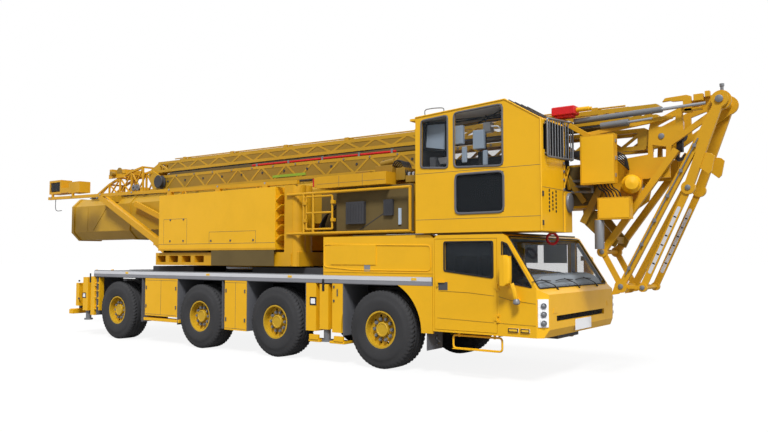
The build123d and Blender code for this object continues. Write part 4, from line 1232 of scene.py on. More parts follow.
@dataclass
class GuardTrim:
    """Gate hinges, grating, hoses, tank bands and the bay's wall and boxes behind the guard frame.

    Attributes:
        line: y of the guard frame's tubes.
    """

    line: float = -1.3043

    def build(self) -> None:
        """Make every piece."""
        self.grating()
        self.services()
        self.bay()
        self.valves()
        self.long_box()

    def grating(self) -> None:
        """Hinges of the gate and the bars of the grating."""
        grip = Shell()
        for station in (-1.66, -1.03):
            for height in (2.36, 2.66):
                grip.slabs([(station - 0.035, station + 0.035, self.line - 0.032, self.line + 0.032,
                             height, height + 0.06)])
        grip.build("gate_hinges", FRAME_PAINT, "superstructure", bevel=0.006)
        bars = np.linspace(-1.82, 0.5, 48)
        tread = Shell().slabs([(s, s + 0.01, -1.265, -0.645, 2.17, 2.18) for s in bars])
        tread.slabs([(-1.865, 0.535, y, y + 0.008, 2.17, 2.184) for y in (-1.26, -1.05, -0.85, -0.655)])
        tread.build("grating_bars", CHASSIS_PAINT, "superstructure")

    def services(self) -> None:
        """Hoses, tank bands, and the gear boxes' doors and vents."""
        hoses = Shell()
        for k, y in enumerate((-1.05, -1.01, -0.97, -0.93)):
            lift = 0.03 * k
            hoses.tube(path((-1.6, y, 2.2), (-1.45, y, 2.45 + lift), (-1.15, y, 2.62 + lift),
                            (-0.8, y, 2.7 + lift), (-0.45, y, 2.86), (-0.35, y, 2.92)), 0.014)
            hoses.tube(path((-0.2, y, 2.3 + lift), (-0.05, y, 2.52 + lift), (0.1, y, 2.4 + lift),
                            (0.16, y, 2.3 + lift)), 0.011)
        hoses.build("service_hoses", BLACK, "superstructure")
        tank = Shell()
        for height in (2.28, 2.52):
            tank.lathe([(0, 0.155), (0.01, 0.158), (0.02, 0.155)], (at(-0.9), -0.9, height), (0, 0, 1), 32)
        tank.lathe([(0, 0.03), (0.03, 0.03), (0.035, 0.045), (0.06, 0.045), (0.065, 0.0)],
                   (at(-0.9), -0.9, 2.62), (0, 0, 1), 20)
        tank.build("tank_bands", CYLINDER, "superstructure")
        # The doors take the dark trim grey: partly their own colour, partly painted shade in the bay.
        doors = Shell().slabs([
            (-0.47, -0.23, -1.154, -1.149, 2.24, 2.72), (0.18, 0.45, -1.104, -1.099, 2.22, 2.6)])
        doors.build("gear_box_doors", TRIM, "superstructure", bevel=0.002)
        vents = Shell().slabs(
            [(-0.44, -0.26, -1.16, -1.153, z, z + 0.012) for z in np.linspace(2.6, 2.69, 4)])
        vents.slabs([(0.21, 0.42, -1.11, -1.103, z, z + 0.012) for z in np.linspace(2.48, 2.57, 4)])
        vents.build("gear_box_vents", BLACK, "superstructure")

    def bay(self) -> None:
        """The bay's wall in dark brown painted shade, with its ribs, two ribbed lockers darkened as painted
        shade, and a pale plate.
        """
        # Dark brown wall behind the guard frame: painted shade in the bay.
        wall = Shell().slabs([
            (-1.06, 0.52, -1.176, -1.168, 2.172, 2.925), (-1.9, -1.06, -0.612, -0.604, 2.172, 2.925),
            (-1.065, -1.058, -1.172, -0.606, 2.172, 2.925)])
        wall.build("bay_wall", SHADE_BROWN_PAINT, "superstructure")
        rib = Shell().beam((-0.56, -1.178, 2.21), (-0.06, -1.178, 2.47), 0.004, 0.012)
        rib.slabs([(-1.0, 0.5, -1.18, -1.174, 2.885, 2.9)])
        rib.build("bay_ribs", CHASSIS_PAINT, "superstructure")
        # Lockers in the dark chassis paint: painted shade in the bay.
        shade = Shell().slabs([
            (-0.81, -0.43, -1.24, -1.174, 2.31, 2.68), (-0.04, 0.14, -1.22, -1.174, 2.43, 2.69)])
        shade.slabs([(s, s + 0.006, -1.246, -1.238, 2.34, 2.65) for s in np.linspace(-0.77, -0.48, 6)])
        shade.slabs([(s, s + 0.005, -1.226, -1.218, 2.46, 2.66) for s in np.linspace(-0.01, 0.11, 4)])
        shade.build("bay_lockers", CHASSIS_PAINT, "superstructure", bevel=0.006)
        Shell().slabs([(0.24, 0.29, -1.2, -1.174, 2.28, 2.54)]).build(
            "bay_meter_plate", LINING, "superstructure", bevel=0.003)

    def long_box(self) -> None:
        """Red end block and seams of the long box over the bay."""
        red = Shell().slabs([
            (-1.475, -1.43, -1.33, -1.12, 2.965, 3.105), (-1.478, -1.468, -1.29, -1.16, 2.99, 3.08)])
        red.build("red_end_block", RED, "superstructure", bevel=0.006)
        seam = Shell().slabs([(s, s + 0.005, -1.3415, -1.339, 2.94, 3.12) for s in (-0.88, -0.38)])
        seam.slabs([(-1.36, 0.09, -1.3415, -1.339, 3.0, 3.004)])
        seam.build("long_box_seams", SEAL, "superstructure")

    def valves(self) -> None:
        """Valve block, hose loops and small pumps between the long box and the operator's cab."""
        # The valve blocks are in darkened yellow: painted shade.
        block = Shell().slabs([
            (-0.3, 0.05, -1.1, -0.8, 3.14, 3.26), (0.12, 0.3, -1.1, -0.78, 3.0, 3.2),
            (0.34, 0.58, -1.14, -0.86, 2.95, 3.06), (-0.75, -0.45, -1.06, -0.82, 3.14, 3.2)])
        block.lathe(
            [(0, 0.0), (0, 0.05), (0.26, 0.05), (0.27, 0.0)], (at(-0.25), -0.98, 3.3), (1, 0, 0.12), 24)
        block.build("valve_blocks", SHADE_YELLOW_PAINT, "superstructure", bevel=0.006)
        loops = Shell()
        for k in range(5):
            y = -1.08 + 0.05 * k
            loops.tube(path((0.02, y, 3.2), (0.1, y, 3.31 - 0.01 * k), (0.22, y, 3.3), (0.3, y, 3.14),
                            (0.36, y, 3.02)), 0.012)
        loops.build("valve_hoses", BLACK, "superstructure")
        caps = Shell()
        for k, s in enumerate((0.36, 0.43, 0.5)):
            caps.lathe([(0, 0.0), (0, 0.03), (0.05, 0.03), (0.06, 0.015), (0.065, 0.0)],
                       (at(s), -1.06 + 0.02 * k, 3.06), (0, 0, 1), 16)
        caps.build("valve_caps", STEEL, "superstructure")


@dataclass
class PlatformTrim:
    """Skirt, teeth and gussets of the slewing platform.

    Attributes:
        station: of the slewing ring's middle.
    """

    station: float = -4.1

    def build(self) -> None:
        """Make every piece."""
        Shell().lathe(
            [(0, 0.715), (0.012, 0.725), (0.03, 0.725), (0.042, 0.715)], (at(self.station), 0, 1.462),
            (0, 0, 1), 96).build("ring_skirt", CHASSIS_PAINT, "carrier")
        teeth = Shell()
        count = 120
        turn = np.arange(count) / count * tau
        inner = np.stack(
            [at(self.station) + 0.7 * np.cos(turn), 0.7 * np.sin(turn), np.full(count, 1.53)], -1)
        teeth.bolts(inner, 2, 0.014, 0.035, 4)
        teeth.build("ring_teeth", STEEL, "superstructure")
        gussets = Shell()
        for sign in (-1, 1):
            for s in (-2.62, -2.02):
                gussets.prism(
                    [(s, 1.62), (s + 0.012, 1.62), (s + 0.012, 1.83), (s, 1.83)], sign * 1.24, sign * 1.3)
        gussets.build("platform_gussets", FRAME_PAINT, "superstructure", bevel=0.002)


@dataclass
class TailTrim:
    """Fans, grilles, hangers, bolts and stays on the rails' tail ends, and the rope frame."""

    def build(self) -> None:
        """Make every piece."""
        Shell().slabs([(-10.17, -9.76, 0.985, 1.235, 3.36, 3.55)], mirrored=True).build(
            "tail_cabinet_fans", BLACK, "superstructure", bevel=0.01)
        grille = Shell()
        for y in (-1.252, 1.252):
            for s in np.linspace(-10.15, -9.78, 7):
                grille.tube(rod((s, y, 3.34), (s, y, 3.57)), 0.004, sides=5)
        grille.build("tail_cabinet_grille", SEAL, "superstructure")
        handle = Shell()
        for y in (-1.22, 1.22):
            handle.tube(path((-9.98, y, 3.16), (-9.98, y, 2.95), (-9.9, y, 2.88), (-9.7, y, 2.88)), 0.008)
        handle.build("tail_hangers", CHASSIS_PAINT, "superstructure")
        bolts = Shell()
        for sign in (-1, 1):
            for s in (-10.1, -9.2, -8.0, -6.8, -5.5, -4.0, -2.7):
                bolts.bolts([(at(s), sign * 1.2705, 3.1 + (3.19 - 3.085) * (-1.9 - s) / 8.34)], 1, 0.02,
                            sign * 0.012)
        bolts.build("rail_bolts", STEEL, "superstructure")
        self.rope_frame()
        arm = Shell()
        for y in (-0.56, 0.56):
            arm.beam((-7.7, y, 3.0), (-6.62, y, 2.62), 0.07, 0.12)
        arm.build("tail_stays", FRAME_PAINT, "superstructure", bevel=0.004)

    def rope_frame(self) -> None:
        """Arched lattice on the mast's foot with a rope drum and guide sheaves on top."""
        lattice = Shell()
        arch = [(-9.78, 3.34), (-9.3, 3.56), (-8.85, 3.7), (-8.38, 3.82), (-7.92, 3.9)]
        foot = [(s, 3.25) for s, _ in arch]
        bars = ((arch[:-1], arch[1:], 0.05), (foot[:-1], foot[1:], 0.05), (foot, arch, 0.04),
                (foot[:-1], arch[1:], 0.03), (arch[:-1], foot[1:], 0.03))
        for y in (-0.21, 0.21):
            for starts, ends, size in bars:
                for (s0, z0), (s1, z1) in zip(starts, ends):
                    lattice.beam((s0, y, z0), (s1, y, z1), size, size)
        for s, z in arch:
            lattice.slabs([(s - 0.02, s + 0.02, -0.22, 0.22, z - 0.02, z + 0.02)])
        lattice.slabs([(-9.28, -8.6, -0.25, -0.22, 3.7, 3.8), (-9.28, -8.6, 0.22, 0.25, 3.7, 3.8),
                       (-9.25, -9.13, -0.25, 0.25, 3.78, 3.93), (-8.72, -8.6, -0.25, 0.25, 3.78, 3.9)])
        lattice.build("rope_frame", FRAME_PAINT, "mast", bevel=0.003)
        # The drum is in darkened yellow: painted shade.
        drum = Shell().lathe([
            (0, 0.0), (0, 0.105), (0.02, 0.105), (0.02, 0.075), (0.36, 0.075), (0.36, 0.105),
            (0.38, 0.105), (0.38, 0.0)], (at(-8.93), -0.19, 3.86), (0, 1, 0), 32)
        drum.lathe(
            [(0, 0.0), (0.0, 0.06), (0.1, 0.06), (0.11, 0.0)], (at(-9.02), -0.36, 3.8), (0, 1, 0), 24)
        drum.build("rope_drum", SHADE_YELLOW_PAINT, "mast")
        sheave = Shell()
        for s in (-8.2, -8.05):
            sheave.lathe([(0, 0.02), (0, 0.075), (0.012, 0.06), (0.024, 0.075), (0.024, 0.02)],
                         (at(s), -0.28, 3.42), (0, 1, 0), 28)
        sheave.build("guide_sheaves", CYLINDER, "mast")


# ---------------- operator's cab
@dataclass
class OperatorCabTrim:
    """Seals, seams, guard bars, vents, lamp, roof parts and inside of the operator's cab.

    Attributes:
        flank: y of the cab's right side.
        nose: station of its front.
    """

    flank: float = -HALF_WIDTH
    nose: float = 2.76

    def build(self) -> None:
        """Make every piece."""
        self.shell_trim()
        self.guard_bars()
        self.lower_front()
        self.roof()
        self.inside()

    def shell_trim(self) -> None:
        """Window seals, seams, a black sheet of painted shade behind the lower window, and the rounded edges
        of the shell.
        """
        seals = Shell()
        for outline, y, radius, corner in (
                ([(0.79, 3.125), (1.27, 3.09), (1.27, 3.88), (0.8, 3.85)], self.flank - 0.002, 0.015, 0.05),
                ([(1.38, 3.09), (2.18, 3.06), (2.18, 3.94), (1.38, 3.9)], self.flank - 0.002, 0.015, 0.07),
                ([(1.4, 2.4), (2.19, 2.4), (2.19, 2.98), (1.4, 2.98)], self.flank - 0.002, 0.017, 0.08),
                ([(0.82, 3.32), (2.18, 3.32), (2.18, 3.9), (0.82, 3.85)], -0.578, 0.013, 0.05)):
            seals.frame_of(outline, y, radius, corner)
        seals.build("operator_window_seals", MUDGUARD, "mast")
        seam = Shell().slabs([
            (0.7, 2.75, self.flank - 0.0015, self.flank + 0.001, 3.028, 3.033),
            (0.7, 2.75, self.flank - 0.0015, self.flank + 0.001, 2.325, 2.33)])
        seam.build("operator_cab_seams", SEAL, "mast")
        # Matt black sheet behind the lower window: painted shade of the cab's inside.
        blind_and_shade_sheet = Shell().slabs([(1.402, 2.188, self.flank + 0.022, self.flank + 0.027, 2.402, 2.978)])
        blind_and_shade_sheet.build("lower_window_shade_sheet", PAINTED_SHADE_BLACK, "mast")
        edge = Shell()
        profile = ((0.69, 3.91), (2.22, 4.0), (2.76, 3.67), (2.76, 2.125))
        for y in (self.flank - 0.001, -0.579):
            edge.tube(np.array([(at(s), y, z) for s, z in profile]), 0.012)
        edge.build("operator_cab_edges", BODY_PAINT, "mast")

    def guard_bars(self) -> None:
        """Basket of upright bars in front of the window, reaching in towards the mast."""
        front = self.nose + 0.05
        loop = rounded(np.array([(-1.26, 3.15), (-0.36, 3.19), (-0.36, 3.74), (-1.26, 3.68)]), 0.03, 5)
        frame_path = np.column_stack([np.full(len(loop), at(front)), loop[:, 0], loop[:, 1]])
        shell = Shell().tube(frame_path, 0.015, closed=True)
        for y in np.linspace(-1.18, -0.44, 9):
            shell.tube(rod((front, y, 3.16), (front, y, 3.7)), 0.008, sides=6)
        for y, z in ((-1.24, 3.2), (-1.24, 3.62), (-0.62, 3.22), (-0.62, 3.64)):
            shell.tube(rod((self.nose - 0.005, y, z), (front, y, z)), 0.01, sides=6)
        shell.build("window_guard", CYLINDER, "mast")
        # Matt black sheet behind the front window: painted shade.
        dark = Shell().slabs([(self.nose + 0.001, self.nose + 0.005, -1.24, -0.6, 3.17, 3.66)])
        dark.build("front_window_shade_sheet", PAINTED_SHADE_BLACK, "mast")
        # Matt black sheet in the front recess: painted shade.
        back = Shell().slabs([(self.nose - 0.05, self.nose - 0.03, -0.575, -0.305, 2.73, 3.74)])
        back.build("front_recess", PAINTED_SHADE_BLACK, "mast")
        s = self.nose - 0.02
        stay = Shell().beam((s, -0.56, 3.12), (s, -0.36, 2.76), 0.02, 0.05)
        stay.beam((s, -0.56, 2.8), (s, -0.36, 3.1), 0.02, 0.05)
        stay.slabs([(s, self.nose + 0.004, -0.635, -0.575, 2.66, 3.3)])
        stay.build("front_stays", FRAME_PAINT, "mast", bevel=0.003)
        heads = [(at(self.nose + 0.004), -0.605, z) for z in (2.74, 2.88, 3.0, 3.12)]
        Shell().bolts(heads, 0, 0.024, 0.012).build("front_stay_bolts", CYLINDER, "mast")

    def lower_front(self) -> None:
        """Vent holes in three columns, seams and the oval work lamp."""
        columns = [(-1.11, np.linspace(2.41, 2.69, 6)), (-0.995, np.linspace(2.438, 2.662, 5)),
                   (-0.88, np.linspace(2.41, 2.69, 6))]
        # The vent holes are black discs on the face: painted shade in the holes.
        centres = [(at(self.nose) - 0.001, y, z) for y, heights in columns for z in heights]
        Shell().bolts(centres, 0, 0.022, 0.0035, 16).build("vent_holes", BLACK, "mast")
        seam = Shell().slabs([
            (self.nose - 0.001, self.nose + 0.002, -1.33, -0.31, 2.725, 2.73),
            (self.nose - 0.001, self.nose + 0.002, -0.64, -0.635, 2.14, 2.725)])
        seam.build("front_seams_upper", SEAL, "mast")
        hinge = Shell().slabs(
            [(self.nose - 0.002, self.nose + 0.016, -1.345, -1.315, z, z + 0.07) for z in (2.2, 2.6)])
        hinge.build("front_hatch_hinges", CHASSIS_PAINT, "mast", bevel=0.003)
        angle = np.linspace(0, tau, 40, endpoint=False)
        profile = np.array([
            (0.0, 1.0), (0.02, 1.0), (0.034, 0.93), (0.04, 0.8), (0.044, 0.4), (0.045, 0.001)])
        rings = np.stack([
            np.broadcast_to(at(self.nose) + profile[:, :1], (6, 40)),
            -0.415 + 0.115 * profile[:, 1:] * np.cos(angle),
            2.56 + 0.145 * profile[:, 1:] * np.sin(angle)], -1)
        Shell().add(rings, loop_faces(6, 40)).build("oval_work_lamp", CYLINDER, "mast")

    def roof(self) -> None:
        """Roof rail, lip and sloping ribs, and the red ring below the cab's floor."""
        Shell().tube(path(
            (0.82, -1.3, 3.93), (0.825, -1.3, 4.02), (0.92, -1.3, 4.035), (1.06, -1.3, 4.03),
            (1.155, -1.3, 4.01), (1.16, -1.3, 3.94)), 0.008).build("roof_rail", CYLINDER, "mast")
        Shell().slabs([(0.585, 0.695, -1.372, -0.585, 3.862, 3.9)]).build(
            "roof_lip", BODY_PAINT, "mast", bevel=0.004)
        ring = Shell()
        turn = np.linspace(0, tau, 40, endpoint=False)
        ring.tube(np.stack(
            [at(2.44) + 0.064 * np.cos(turn), -0.29 + 0.048 * np.cos(turn), 2.04 + 0.08 * np.sin(turn)],
            -1), 0.02, sides=10, closed=True)
        ring.build("red_ring", RED, "mast")
        sheet = Shell()
        slope = np.array([(2.26, 3.985), (2.72, 3.704), (2.728, 3.716), (2.266, 3.999)])
        for y in (-1.34, -1.14, -0.94, -0.74):
            sheet.prism(slope, y, y + 0.02)
        sheet.build("roof_ribs", CHASSIS_PAINT, "mast")

    def inside(self) -> None:
        """Lining, heater boxes, ceiling, then the rods and screens, the levers and the chair."""
        Shell().slabs([
            (0.732, 0.74, -1.33, -0.625, 2.17, 3.85), (0.735, 2.715, -0.63, -0.622, 2.17, 3.31),
            (0.735, 0.815, -0.63, -0.622, 3.31, 3.86), (2.19, 2.6, -0.63, -0.622, 3.31, 3.7),
            (0.735, 2.715, -1.33, -0.625, 2.166, 2.176),
            (2.712, 2.718, -1.33, -0.625, 2.17, 3.66)]).build("operator_lining", CHASSIS_PAINT, "mast")
        Shell().slabs([
            (1.33, 1.49, -1.31, -1.24, 3.44, 3.72), (1.66, 1.84, -1.31, -1.24, 3.34, 3.62),
            (1.46, 1.54, -1.29, -1.25, 3.16, 3.4),
            (1.8, 1.87, -1.27, -1.22, 3.1, 3.32)]).build("cab_heaters", LINING, "mast", bevel=0.012)
        # White ceiling standing in for the light through the glazed roof: painted light.
        ceiling = Shell().prism([(0.745, 3.855), (2.2, 3.935), (2.2, 3.94), (0.745, 3.86)], -1.325, -0.625)
        ceiling.slabs([(1.72, 1.84, -1.1, -0.98, 3.62, 3.76), (0.9, 1.16, -1.1, -1.0, 3.2, 3.3)])
        ceiling.build("cab_ceiling", WHITE, "mast")
        panel = Shell().prism([(0.815, 3.8), (1.13, 3.79), (1.12, 3.4), (0.79, 3.46)], -1.222, -1.212)
        panel.build("cab_panel", LINING, "mast")
        self.rods_and_screens()
        self.levers()
        self.chair()

    def rods_and_screens(self) -> None:
        """Rods under the ceiling, the panel's rim, dark screens and a pale hose."""
        rods = Shell().frame_of([(0.8, 3.83), (1.15, 3.82), (1.14, 3.37), (0.77, 3.43)], -1.224, 0.014, 0.02)
        ends = [((0.8, -1.28, 3.8), (1.9, -0.66, 3.9)), ((1.36, -1.28, 3.82), (2.16, -0.66, 3.91)),
                ((2.14, -1.28, 3.88), (1.4, -0.66, 3.86)), ((1.2, -1.0, 3.84), (2.18, -1.0, 3.89)),
                ((1.74, -1.05, 3.88), (1.74, -1.05, 3.1))]
        for low, high in ends:
            rods.tube(rod(low, high), 0.01, sides=6)
        rods.build("cab_rods", BLACK, "mast")
        Shell().slabs([
            (1.68, 1.8, -1.2, -1.1, 3.06, 3.32),
            (1.88, 2.1, -1.16, -0.84, 3.05, 3.1)]).build("cab_screens", BLACK, "mast", bevel=0.01)
        Shell().tube(
            path((1.94, -1.26, 3.66), (2.06, -1.26, 3.64), (2.13, -1.26, 3.54), (2.14, -1.26, 3.42)),
            0.012).build("cab_hose", WHITE, "mast")

    def levers(self) -> None:
        """Control levers and the screen's post."""
        stalks = Shell()
        for y in (-1.18, -0.82):
            stalks.tube(path((1.42, y, 2.74), (1.45, y, 2.86), (1.47, y, 2.94)), 0.012)
            stalks.lathe([(0, 0.0), (0.004, 0.02), (0.04, 0.028), (0.07, 0.02), (0.075, 0.0)],
                         (at(1.47), y, 2.92), (0, 0, 1), 16)
        stalks.tube(path((1.76, -1.05, 3.1), (1.75, -1.05, 3.2), (1.74, -1.05, 3.3)), 0.012)
        stalks.build("control_levers", BLACK, "mast")

    def chair(self) -> None:
        """The chair's two cushions, each crowned by h (1 - u^4)(1 - v^4)."""
        chair = Shell()
        count = 12
        u, v = np.meshgrid(np.linspace(-1, 1, count), np.linspace(-1, 1, count))
        crown = 0.05 * (1 - u ** 4) * (1 - v ** 4)
        quads = grid_faces(count, count)
        chair.add(np.stack([at(1.15) + 0.19 * v, -1.0 + 0.19 * u, 2.741 + crown], -1), quads)
        chair.add(
            np.stack([at(0.975) - 0.05 * (v + 1) / 2 + crown, -1.0 + 0.19 * u, 2.98 + 0.3 * v], -1), quads)
        chair.build("chair_cushions", SEAT_CLOTH, "mast")


# ---------------- mast and jib
@dataclass
class MastTrim:
    """Flange bolts, weld seams and the clipped hose run along the mast."""

    def build(self) -> None:
        """Make every piece."""
        angle = np.arange(36) / 36 * tau + 0.08
        corner = 1 / np.maximum(
            np.abs(np.cos(angle)) / 0.46 + np.abs(np.sin(angle)) / 0.5 * 0.35,
            np.abs(np.sin(angle)) / 0.5 + np.abs(np.cos(angle)) / 0.46 * 0.35)
        radius = np.minimum(corner, 0.462)
        seats = np.column_stack([
            np.full(36, at(-10.5)), radius * np.cos(angle), 2.71 + radius * np.sin(angle)])
        Shell().bolts(seats, 0, 0.016, -0.014).build("mast_flange_bolts", STEEL, "mast")
        # The weld beads are drawn in the darkened yellow: painted shade along each seam.
        weld = Shell()
        for y in (-0.472, 0.472):
            weld.tube(rod((-9.55, y, 2.42), (-8.95, y, 3.0)), 0.005, sides=5)
            weld.tube(rod((-9.8, y, 2.42), (-9.8, y, 3.0)), 0.004, sides=5)
        weld.build("mast_weld_seams", SHADE_YELLOW_PAINT, "mast")
        lines = Shell()
        for y in (-0.36, -0.31, -0.26):
            lines.tube(path(*((s, y, 3.235) for s in (-9.9, -7.0, -4.0, -1.0, 1.8))), 0.011)
        lines.build("mast_hose_run", CHASSIS_PAINT, "mast")
        clips = Shell().slabs(
            [(s, s + 0.05, -0.385, -0.235, 3.22, 3.252) for s in np.arange(-9.6, 1.8, 0.95)])
        clips.build("hose_clips", STEEL, "mast", bevel=0.003)


@dataclass
class JibTrim:
    """Webs, bolts, cable tray, stays, reel, ropes and coloured strips on the two jib lengths.

    Attributes:
        lower_half: half width of the inner jib.
        upper_half: half width of the outer jib.
    """

    lower_half: float = 0.19
    upper_half: float = 0.122

    def build(self) -> None:
        """Make every piece."""
        self.red_pipe()
        self.webs()
        self.tray()
        self.stays()
        self.bolts()
        self.reel()

    def red_pipe(self) -> None:
        """Red pipe along the inner jib, in its clamps."""
        pipe = Shell().tube(rod((-4.23, -0.155, 3.665), (-0.55, -0.155, 3.645)), 0.02, sides=12)
        pipe.build("red_pipe", RED, "jib_root")
        clamp = Shell().slabs(
            [(s, s + 0.04, -0.185, -0.125, 3.61, 3.69) for s in (-4.1, -3.2, -2.3, -1.4, -0.65)])
        clamp.build("pipe_clamps", CYLINDER, "jib_root", bevel=0.003)

    def webs(self) -> None:
        """Webs in darkened yellow behind both jibs' lacing, painted shade, and the bolts in the lower one."""
        for name, body, half, ends, low, high in (
                ("lower_webs", "jib_root", self.lower_half, (-7.3, -0.1), (3.338, 3.338), (3.592, 3.553)),
                ("upper_webs", "jib_tip", self.upper_half, (-7.1, -0.1), (3.792, 3.782), (3.932, 3.895))):
            web = Shell()
            for sign in (-1, 1):
                near, far = sorted((sign * (half - 0.014), sign * (half - 0.006)))
                web.prism([(ends[0], low[0]), (ends[1], low[1]), (ends[1], high[1]), (ends[0], high[0])],
                          near, far)
            web.build(name, SHADE_YELLOW_PAINT, body)
        rivets = Shell()
        for sign in (-1, 1):
            stations = np.arange(-7.0, -0.1, 0.62)
            seats = np.column_stack([
                at(0) + stations, np.full(len(stations), sign * (self.lower_half - 0.006)),
                3.5 - 0.004 * (stations + 7.0)])
            rivets.bolts(seats, 1, 0.024, sign * 0.012, 12)
        rivets.build("web_bolts", CHASSIS_PAINT, "jib_root")

    def tray(self) -> None:
        """Cable tray and loose hoses between the jibs, and the green strip; the tray in dark brown as painted
        shade between the jibs.

        A hose's height is z0 - a sin^2(w s + k) over the station s.
        """
        # The tray and its cables are dark brown: painted shade between the jibs.
        tray = Shell().slabs([(-7.2, -0.1, -0.13, 0.13, 3.625, 3.66), (-7.0, -0.1, -0.15, -0.14, 3.64, 3.7)])
        for y in (-0.1, -0.06, -0.02, 0.03, 0.08):
            tray.tube(rod((-7.1, y, 3.675), (3.3, y, 3.672)), 0.016, sides=6)
        tray.build("cable_tray", SHADE_BROWN_PAINT, "jib_root")
        hoses = Shell()
        for k, drop in enumerate((0.0, 0.035, 0.015)):
            wave = np.linspace(-7.0, 3.2, 60)
            sag = 3.7 + 0.016 * k - 0.018 * np.sin((wave + drop * 9) * 3.1 + k) ** 2
            hoses.tube(np.column_stack([at(0) + wave, np.full(60, -0.135 + 0.03 * k), sag]), 0.009, sides=6)
        hoses.build("jib_hoses", CHASSIS_PAINT, "jib_root")
        Shell().slabs([(-3.6, -2.7, -0.1945, -0.1835, 3.36, 3.41)]).build("green_strip", GREEN, "jib_root")

    def stays(self) -> None:
        """Two stay rods over the outer jib, on small saddles."""
        stay = Shell()
        for y in (-0.07, 0.07):
            stay.tube(rod((-6.9, y, 4.03), (3.5, y, 3.965)), 0.013)
            for s in np.arange(-6.6, 3.5, 1.6):
                lift = 4.03 - 0.065 * (s + 6.9) / 10.4
                stay.slabs([(s, s + 0.09, y - 0.02, y + 0.02, lift - 0.05, lift + 0.02)])
        stay.build("jib_stays", JIB_SHADE_PAINT, "jib_tip", bevel=0.002)

    def bolts(self) -> None:
        """Bolt heads along the inner jib's upper chords."""
        bolts = Shell()
        for sign in (-1, 1):
            stations = np.linspace(-7.3, 2.6, 17)
            height = 3.62 - 0.06 * (stations + 7.45) / 11.25
            seats = np.column_stack([at(0) + stations, np.full(17, sign * self.lower_half), height])
            bolts.bolts(seats, 1, 0.018, sign * 0.012)
        bolts.build("chord_bolts", CYLINDER, "jib_root")

    def reel(self) -> None:
        """Dark hose reel at the inner jib's end, and the two ropes along it."""
        reel = Shell().lathe([
            (0, 0.0), (0, 0.14), (0.015, 0.15), (0.03, 0.12), (0.09, 0.12), (0.105, 0.15), (0.12, 0.14),
            (0.12, 0.0)], (at(-7.2), -0.205, 3.5), (0, -1, 0), 40)
        reel.build("dark_reel", CHASSIS_PAINT, "jib_root")
        rope = Shell()
        for y in (-0.05, 0.05):
            rope.tube(rod((-7.3, y, 3.66), (3.7, y, 3.6)), 0.008, sides=6)
        rope.build("jib_ropes", STEEL, "jib_root")


